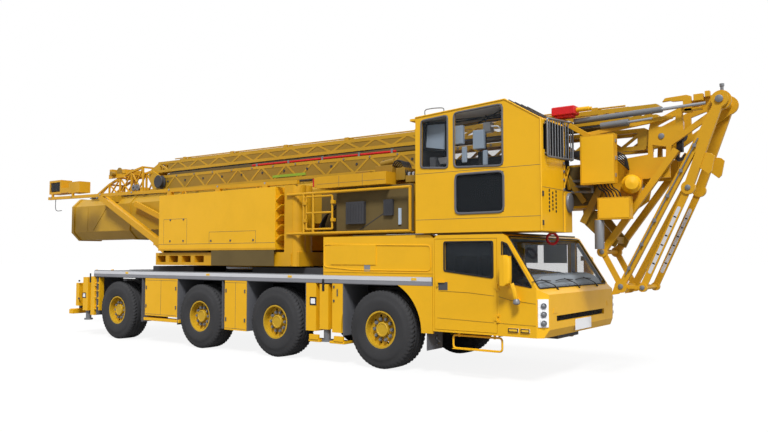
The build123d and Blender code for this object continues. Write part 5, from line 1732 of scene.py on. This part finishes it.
@dataclass
class HeadTrim:
    """Small parts of the mast head: cylinders, winch, pins, hoses, red box and brackets."""

    def build(self) -> None:
        """Make every piece."""
        self.red_box()
        self.cylinders()
        self.fork()
        self.winch()
        self.caps_and_doors()
        self.hoses()
        self.under_frame()

    def red_box(self) -> None:
        """Red box with its valve cap and bracket."""
        red = Shell().slabs([(2.56, 2.92, -0.56, -0.36, 3.84, 3.97), (2.6, 2.88, -0.53, -0.39, 3.8, 3.85)])
        red.build("red_box", RED, "telescope", bevel=0.02)
        Shell().lathe(
            [(0, 0.03), (0.0, 0.035), (0.18, 0.035), (0.19, 0.025), (0.22, 0.025), (0.22, 0.0)],
            (at(2.92), -0.46, 3.91), (1, 0, 0), 20).build("valve_cap", BODY_PAINT, "telescope")
        carrier = Shell().beam((2.55, -0.46, 3.86), (3.1, -0.46, 3.5), 0.06, 0.07)
        carrier.beam((3.0, -0.46, 3.52), (4.2, -0.235, 3.7), 0.05, 0.06)
        carrier.build("red_box_bracket", FRAME_PAINT, "telescope", bevel=0.004)

    def cylinders(self) -> None:
        """Two hydraulic cylinders and their rods."""
        barrel = Shell().tube(rod((2.84, -0.36, 3.76), (4.1, -0.36, 3.79)), 0.042, sides=20)
        barrel.tube(rod((3.26, -0.42, 3.64), (3.66, -0.42, 3.655)), 0.048, sides=20)
        barrel.build("head_cylinders", CYLINDER, "telescope", bevel=0.004)
        rods = Shell().tube(rod((4.1, -0.36, 3.79), (4.66, -0.36, 3.81)), 0.022, sides=16)
        rods.tube(rod((3.66, -0.42, 3.655), (3.98, -0.42, 3.67)), 0.02, sides=16)
        rods.build("head_cylinder_rods", STEEL, "telescope")

    def fork(self) -> None:
        """Forked hook beside the head and the knob on its top pin."""
        fork = Shell().prism([
            (4.08, 3.905), (4.12, 3.955), (4.4, 3.965), (4.46, 3.94), (4.47, 3.72), (4.37, 3.72),
            (4.35, 3.89), (4.22, 3.895), (4.18, 3.91)], -0.3, -0.252)
        fork.slabs([(4.36, 4.6, -0.3, -0.252, 3.74, 3.78), (4.5, 4.62, -0.34, -0.252, 3.86, 3.95),
                    (4.64, 4.7, -0.32, -0.252, 3.9, 3.98)])
        fork.build("fork_hook", FRAME_PAINT, "telescope", bevel=0.004)
        Shell().lathe(
            [(0, 0.022), (0.09, 0.022), (0.095, 0.03), (0.13, 0.03), (0.135, 0.0)],
            (at(4.82), -0.15, 3.955), (0, 0, 1), 20).build("head_pin_knob", CYLINDER, "telescope")

    def winch(self) -> None:
        """Flanges, rope and motor of the winch.

        The rope is a helix of 16 turns: (r cos t, y0 + w t, r sin t).
        """
        flange = Shell()
        for y in (-0.2, 0.16):
            flange.lathe([(0, 0.05), (0, 0.19), (0.008, 0.195), (0.032, 0.195), (0.04, 0.19), (0.04, 0.05)],
                         (at(3.56), y, 2.7), (0, 1, 0), 48)
        flange.build("winch_flanges", FRAME_PAINT, "telescope")
        winds, steps, drum = 16, 40, 0.16
        share = np.linspace(0, 1, winds * steps)
        coil = np.stack([at(3.56) + drum * np.cos(tau * winds * share), -0.155 + 0.31 * share,
                         2.7 + drum * np.sin(tau * winds * share)], -1)
        Shell().tube(coil, 0.0095, sides=5).build("winch_rope", STEEL, "telescope")
        motor = Shell().lathe([
            (0, 0.0), (0, 0.11), (0.02, 0.13), (0.2, 0.13), (0.22, 0.11), (0.3, 0.09), (0.38, 0.09),
            (0.4, 0.0)], (at(3.62), -0.26, 2.78), (0.35, -1, 0), 36)
        motor.build("winch_motor", BODY_PAINT, "telescope")

    def caps_and_doors(self) -> None:
        """Caps on the head's pins, and the gear boxes' doors and hinges."""
        pins = Shell()
        for s, z, r, reach in ((4.82, 3.85, 0.05, 0.34), (4.05, 3.44, 0.04, 0.25)):
            for sign in (-1, 1):
                pins.lathe([(0, r), (0.012, r), (0.016, r - 0.008), (0.018, 0.0)],
                           (at(s), sign * reach, z), (0, sign, 0), 28)
        pins.build("head_pin_caps", CYLINDER, "telescope")
        doors = Shell().slabs([
            (3.04, 3.5, -0.6245, -0.6195, 2.81, 3.47), (3.26, 3.68, -0.5645, -0.5595, 2.31, 2.58)])
        doors.build("head_box_doors", BODY_PAINT, "telescope", bevel=0.003)
        hinge = Shell().slabs([(3.513, 3.528, -0.6, -0.56, z, z + 0.05) for z in (2.88, 3.12, 3.36)])
        hinge.build("head_box_hinges", STEEL, "telescope", bevel=0.003)

    def hoses(self) -> None:
        """Five hoses between the two gear boxes and five up to the winch."""
        hoses = Shell()
        for k in range(5):
            y = -0.33 - 0.03 * k
            hoses.tube(path(*((s + 0.05 * k, reach, z) for s, reach, z in (
                (3.24, -0.56, 2.8), (3.27, -0.55, 2.73), (3.33, -0.52, 2.68), (3.36, -0.5, 2.595)))), 0.01)
            hoses.tube(
                path((3.34, y + 0.02, 3.3), (3.55, y + 0.03, 3.2 - 0.03 * k), (3.6, -0.27, 3.0)), 0.01)
        hoses.build("head_hoses", BLACK, "telescope")

    def under_frame(self) -> None:
        """Bracket plates, diagonal stays, sleeve and pipes below and behind the gear boxes; the plates and
        stays in darkened yellow as painted shade.
        """
        plates = Shell()
        outline = [
            (2.9, 2.47), (3.06, 2.47), (3.24, 2.22), (3.42, 2.0), (3.37, 1.9), (3.18, 2.0), (2.93, 2.24)]
        for sign in (-1, 1):
            near, far = sorted((sign * 0.205, sign * 0.245))
            plates.prism(outline, near, far)
            y = sign * 0.3
            plates.beam((3.22, y, 2.8), (2.93, y, 2.26), 0.07, 0.1)
            plates.beam((2.62, y, 3.06), (2.96, y, 2.56), 0.06, 0.08)
        plates.slabs([(3.3, 3.36, -0.21, 0.21, 1.96, 2.06), (2.96, 3.02, -0.21, 0.21, 2.3, 2.44)])
        plates.build("under_frame", SHADE_YELLOW_PAINT, "telescope", bevel=0.004)
        # Dark brown plates on the inner mast's flanks: painted shade.
        Shell().slabs([(2.42, 3.18, -0.267, -0.261, 2.52, 3.1)], mirrored=True).build(
            "inner_mast_flank", SHADE_BROWN_PAINT, "telescope", bevel=0.002)
        pipes = Shell()
        for k, z in enumerate((2.7, 2.78, 2.86)):
            pipes.tube(path(
                (2.46, -0.3, z), (2.8, -0.31, z + 0.02), (3.05, -0.34, z + 0.01),
                (3.12, -0.42, z - 0.05 * k)), 0.02)
        pipes.build("inner_mast_pipes", CYLINDER, "telescope")
        Shell().lathe(
            [(0, 0.0605), (0, 0.066), (0.4, 0.066), (0.41, 0.0605)], (at(3.24), -0.5, 1.877), (0, 0, 1),
            32).build("gear_sleeve", CYLINDER, "telescope")


@dataclass
class GuyTrim:
    """Pin caps, slotted bars, rods and small brackets of the guying frame.

    Attributes:
        inner, outer: y of the frame bars' two faces.
    """

    inner: float = 0.262
    outer: float = 0.33

    def build(self) -> None:
        """Make every piece."""
        caps = Shell()
        for s, z, r in ((4.4, 2.7, 0.036), (3.21, 1.84, 0.034), (3.47, 1.35, 0.036), (3.77, 1.34, 0.033)):
            for sign in (-1, 1):
                caps.lathe([(0, r), (0.012, r), (0.016, r - 0.008), (0.018, 0.0)],
                           (at(s), sign * self.outer, z), (0, sign, 0), 28)
        caps.build("guy_pin_caps", CYLINDER, "guying")
        slots = Shell()
        start, end = np.array((4.4, 2.7)), np.array((3.77, 1.34))
        run = (end - start) / np.linalg.norm(end - start)
        across = np.array([-run[1], run[0]])
        for share in np.linspace(0.24, 0.8, 7):
            middle = start + (end - start) * share
            corners = [middle + run * a * 0.08 + across * b * 0.024
                       for a, b in ((-1, -1), (1, -1), (1, 1), (-1, 1))]
            ring = rounded(np.array(corners), 0.02, 4)
            for sign in (-1, 1):
                y = sign * (self.inner + self.outer) / 2
                slots.prism(ring, y - 0.0175, y + 0.0175)
        slots.build("link_slots", STRIPE, "guying")
        rods = Shell()
        for sign in (-1, 1):
            y = sign * (self.outer + 0.022)
            rods.tube(rod((4.55, y, 3.35), (3.55, y, 1.52)), 0.01)
            for share in np.linspace(0.05, 0.95, 6):
                s, z = 4.55 - 1.0 * share, 3.35 - 1.83 * share
                rods.slabs([(s - 0.02, s + 0.02, min(sign * self.outer, y + sign * 0.014),
                             max(sign * self.outer, y + sign * 0.014), z - 0.025, z + 0.025)])
        rods.build("guy_side_rods", CYLINDER, "guying", bevel=0.002)
        bracket = Shell()
        for sign in (-1, 1):
            y0, y1 = sorted((sign * 0.275, sign * 0.315))
            bracket.prism(
                [(4.52, 2.98), (4.66, 2.86), (4.7, 2.9), (4.74, 3.1), (4.7, 3.14), (4.6, 3.16)], y0, y1)
        bracket.build("guy_brackets", FRAME_PAINT, "guying", bevel=0.004)


# ---------------- under the deck
@dataclass
class ChassisTrim:
    """Locker seams and handles, steering rods, drive shafts, lines, lamps and the rear steps.

    Attributes:
        steered: stations of the axles that carry track rods.
        hub_height: of the drive shafts.
    """

    steered: tuple[float, ...] = (AXLE_STATIONS[0], AXLE_STATIONS[1], AXLE_STATIONS[3])
    hub_height: float = 0.64

    def build(self) -> None:
        """Make every piece."""
        self.lockers()
        self.running_gear()
        self.rear()
        self.jack_guards()
        self.deck_fittings()

    def lockers(self) -> None:
        """Seams and hinges on the side lockers."""
        out = HALF_WIDTH - 0.003
        seams, handles = [], []
        for rear, front, bottom in ((-6.105, -5.055, 0.56), (-3.64, -3.05, 0.41)):
            middle = (rear + front) / 2
            seams += [(rear + 0.02, front - 0.02, out - 0.001, out + 0.002, 1.285, 1.29),
                      (rear + 0.02, front - 0.02, out - 0.001, out + 0.002, bottom + 0.03, bottom + 0.035),
                      (middle - 0.0025, middle + 0.0025, out - 0.001, out + 0.002, bottom + 0.035, 1.285)]
            handles += [(s - 0.014, s + 0.014, out, out + 0.012, z, z + 0.07)
                        for s in (rear + 0.04, front - 0.04) for z in (1.1, bottom + 0.16)]
        Shell().slabs(seams, mirrored=True).build("locker_seams", SEAL, "carrier")
        Shell().slabs(handles, mirrored=True).build("locker_handles", DARK_LOCK, "carrier", bevel=0.004)

    def running_gear(self) -> None:
        """Track rods, drive shafts between the axles, air bottles and brake lines."""
        rods = Shell()
        for station in self.steered:
            rods.tube(rod((station - 0.26, -0.64, 0.6), (station - 0.26, 0.64, 0.6)), 0.024, sides=12)
        rods.build("track_rods", CYLINDER, "carrier")
        shafts = Shell()
        for front, rear in ((-2.5, -4.2), (-4.56, -6.95)):
            shafts.tube(rod((front, 0, self.hub_height), (rear, 0, self.hub_height)), 0.055, sides=20)
            for s in (front - 0.04, rear + 0.04):
                shafts.lathe([(-0.03, 0.055), (-0.03, 0.1), (0.03, 0.1), (0.03, 0.055)],
                             (at(s), 0, self.hub_height), (1, 0, 0), 24)
        shafts.build("drive_shafts", CHASSIS_PAINT, "carrier")
        bottle = Shell()
        for y in (-0.56, 0.56):
            for z in (0.93, 1.12):
                bottle.lathe([(0, 0.0), (0.01, 0.06), (0.05, 0.09), (0.6, 0.09), (0.64, 0.06), (0.65, 0.0)],
                             (at(-3.62), y, z), (1, 0, 0), 28)
        bottle.build("air_bottles", CHASSIS_PAINT, "carrier")
        lines = Shell()
        for y in (-0.47, 0.47):
            for z in (0.86, 0.89, 0.92):
                lines.tube(path(
                    (-8.4, y, z), (-6.0, y, z + 0.01), (-3.0, y, z), (-1.0, y, z + 0.01),
                    (0.8, y, z)), 0.008, sides=6)
        lines.build("brake_lines", BLACK, "carrier")

    def rear(self) -> None:
        """Lamp lenses, ladder rails, bumper bar, rungs and the ledges below the rear lockers."""
        lens = Shell()
        for sign in (-1, 1):
            for k, width in ((0.92, 0.11), (1.05, 0.11), (1.18, 0.1)):
                low, high = sorted((sign * k, sign * (k + width)))
                lens.slabs([(-8.802, -8.789, low, high, 0.945, 1.045)])
        lens.build("rear_lenses", RED, "carrier", bevel=0.006)
        ladder = Shell()
        for y in (-0.93, -1.33, 0.93, 1.33):
            ladder.tube(path((-7.94, y, 0.6), (-8.02, y, 0.61), (-8.06, y, 0.7), (-8.06, y, 1.3),
                             (-8.03, y, 1.45), (-7.95, y, 1.47)), 0.014)
        ladder.build("rear_ladder_rails", BODY_PAINT, "carrier")
        bumper = Shell().slabs([
            (-9.02, -8.86, -1.36, 1.36, 0.46, 0.56), (-9.0, -8.88, -1.34, 1.34, 0.56, 0.572)])
        bumper.slabs([(-8.9, -8.72, 0.46, 0.54, 0.48, 0.8)], mirrored=True)
        bumper.slabs([(-7.99, -7.972, 1.24, 1.362, 0.58, 1.33), (-7.83, -7.812, 1.24, 1.362, 0.58, 1.33)],
                     mirrored=True)
        bumper.slabs(
            [(-7.98, -7.82, 1.26, 1.358, z, z + 0.035) for z in (0.66, 0.83, 1.0, 1.17)], mirrored=True)
        bumper.slabs([(-6.16, -5.0, 1.2, 1.362, 0.455, 0.515)], mirrored=True)
        bumper.build("rear_bumper_and_rungs", BODY_PAINT, "carrier", bevel=0.004)

    def jack_guards(self) -> None:
        """Blank signs, straps, latches and foot trays at the outriggers' corners."""
        out = HALF_WIDTH - 0.002
        tray = Shell().slabs([
            (-1.52, -0.74, 1.1, 1.165, 0.335, 0.375), (-1.52, -1.275, 1.16, 1.36, 0.335, 0.375),
            (-1.055, -0.74, 1.16, 1.36, 0.335, 0.375), (-1.5, -1.3, out - 0.05, out, 0.375, 0.46),
            (-0.95, -0.76, out - 0.05, out, 0.375, 0.46)], mirrored=True)
        tray.build("jack_trays", BODY_PAINT, "carrier", bevel=0.005)
        sign_edge = Shell().slabs([
            (-1.485, -1.335, out, out + 0.004, 0.95, 1.09),
            (-8.45, -8.31, out - 0.02, out + 0.004, 0.84, 0.96)], mirrored=True)
        sign_edge.build("sign_borders", BLACK, "carrier")
        sign_face = Shell().slabs([
            (-1.46, -1.36, out + 0.004, out + 0.006, 0.975, 1.065),
            (-8.425, -8.335, out + 0.004, out + 0.006, 0.86, 0.94)], mirrored=True)
        sign_face.build("blank_signs", WHITE, "carrier")
        strap = Shell()
        for y in (-out - 0.004, out + 0.004):
            for s in (-1.18, -8.14):
                strap.beam((s, y, 1.4), (s, y, 1.195), 0.01, 0.05)
        strap.build("jack_straps", BLACK, "carrier", bevel=0.003)
        latch = Shell().slabs([
            (-0.96, -0.93, out, out + 0.012, 1.25, 1.29), (-0.88, -0.86, out, out + 0.012, 1.12, 1.24),
            (-0.96, -0.93, out, out + 0.012, 1.02, 1.06), (-8.62, -8.59, out - 0.02, out + 0.01, 0.8, 0.84),
            (-8.62, -8.59, out - 0.02, out + 0.01, 1.2, 1.24)], mirrored=True)
        latch.build("jack_latches", DARK_LOCK, "carrier", bevel=0.003)

    def deck_fittings(self) -> None:
        """Tread bars, hatches and low boxes on the deck."""
        Shell().slabs(
            [(s, s + 0.012, 1.15, 1.34, 1.4602, 1.466) for s in np.arange(-7.9, -1.3, 0.1)],
            mirrored=True).build("deck_tread_bars", DECK_PAINT, "carrier")
        hatch = Shell().slabs([
            (-7.8, -6.95, -0.62, 0.62, 1.4602, 1.474), (-6.85, -6.1, -0.62, 0.62, 1.4602, 1.474)])
        hatch.build("deck_hatches", DECK_PAINT, "carrier", bevel=0.004)
        boxes = Shell().slabs([
            (-6.3, -4.96, -1.05, 1.05, 1.461, 1.575), (-3.24, -1.3, -1.05, 1.05, 1.461, 1.575)])
        boxes.build("deck_boxes", CHASSIS_PAINT, "carrier", bevel=0.006)


def main() -> None:
    """Build every sub-assembly in order."""
    Studio().build()
    CadPaint().dress()
    for assembly in (
            Wheels(), DeckEdge(), DriverCabTrim(), CowlTrim(), BallastTrim(), GuardTrim(), PlatformTrim(),
            TailTrim(), OperatorCabTrim(), MastTrim(), JibTrim(), HeadTrim(), GuyTrim(), ChassisTrim()):
        log.info("building %s", type(assembly).__name__)
        assembly.build()


if __name__ == "__main__":
    main()
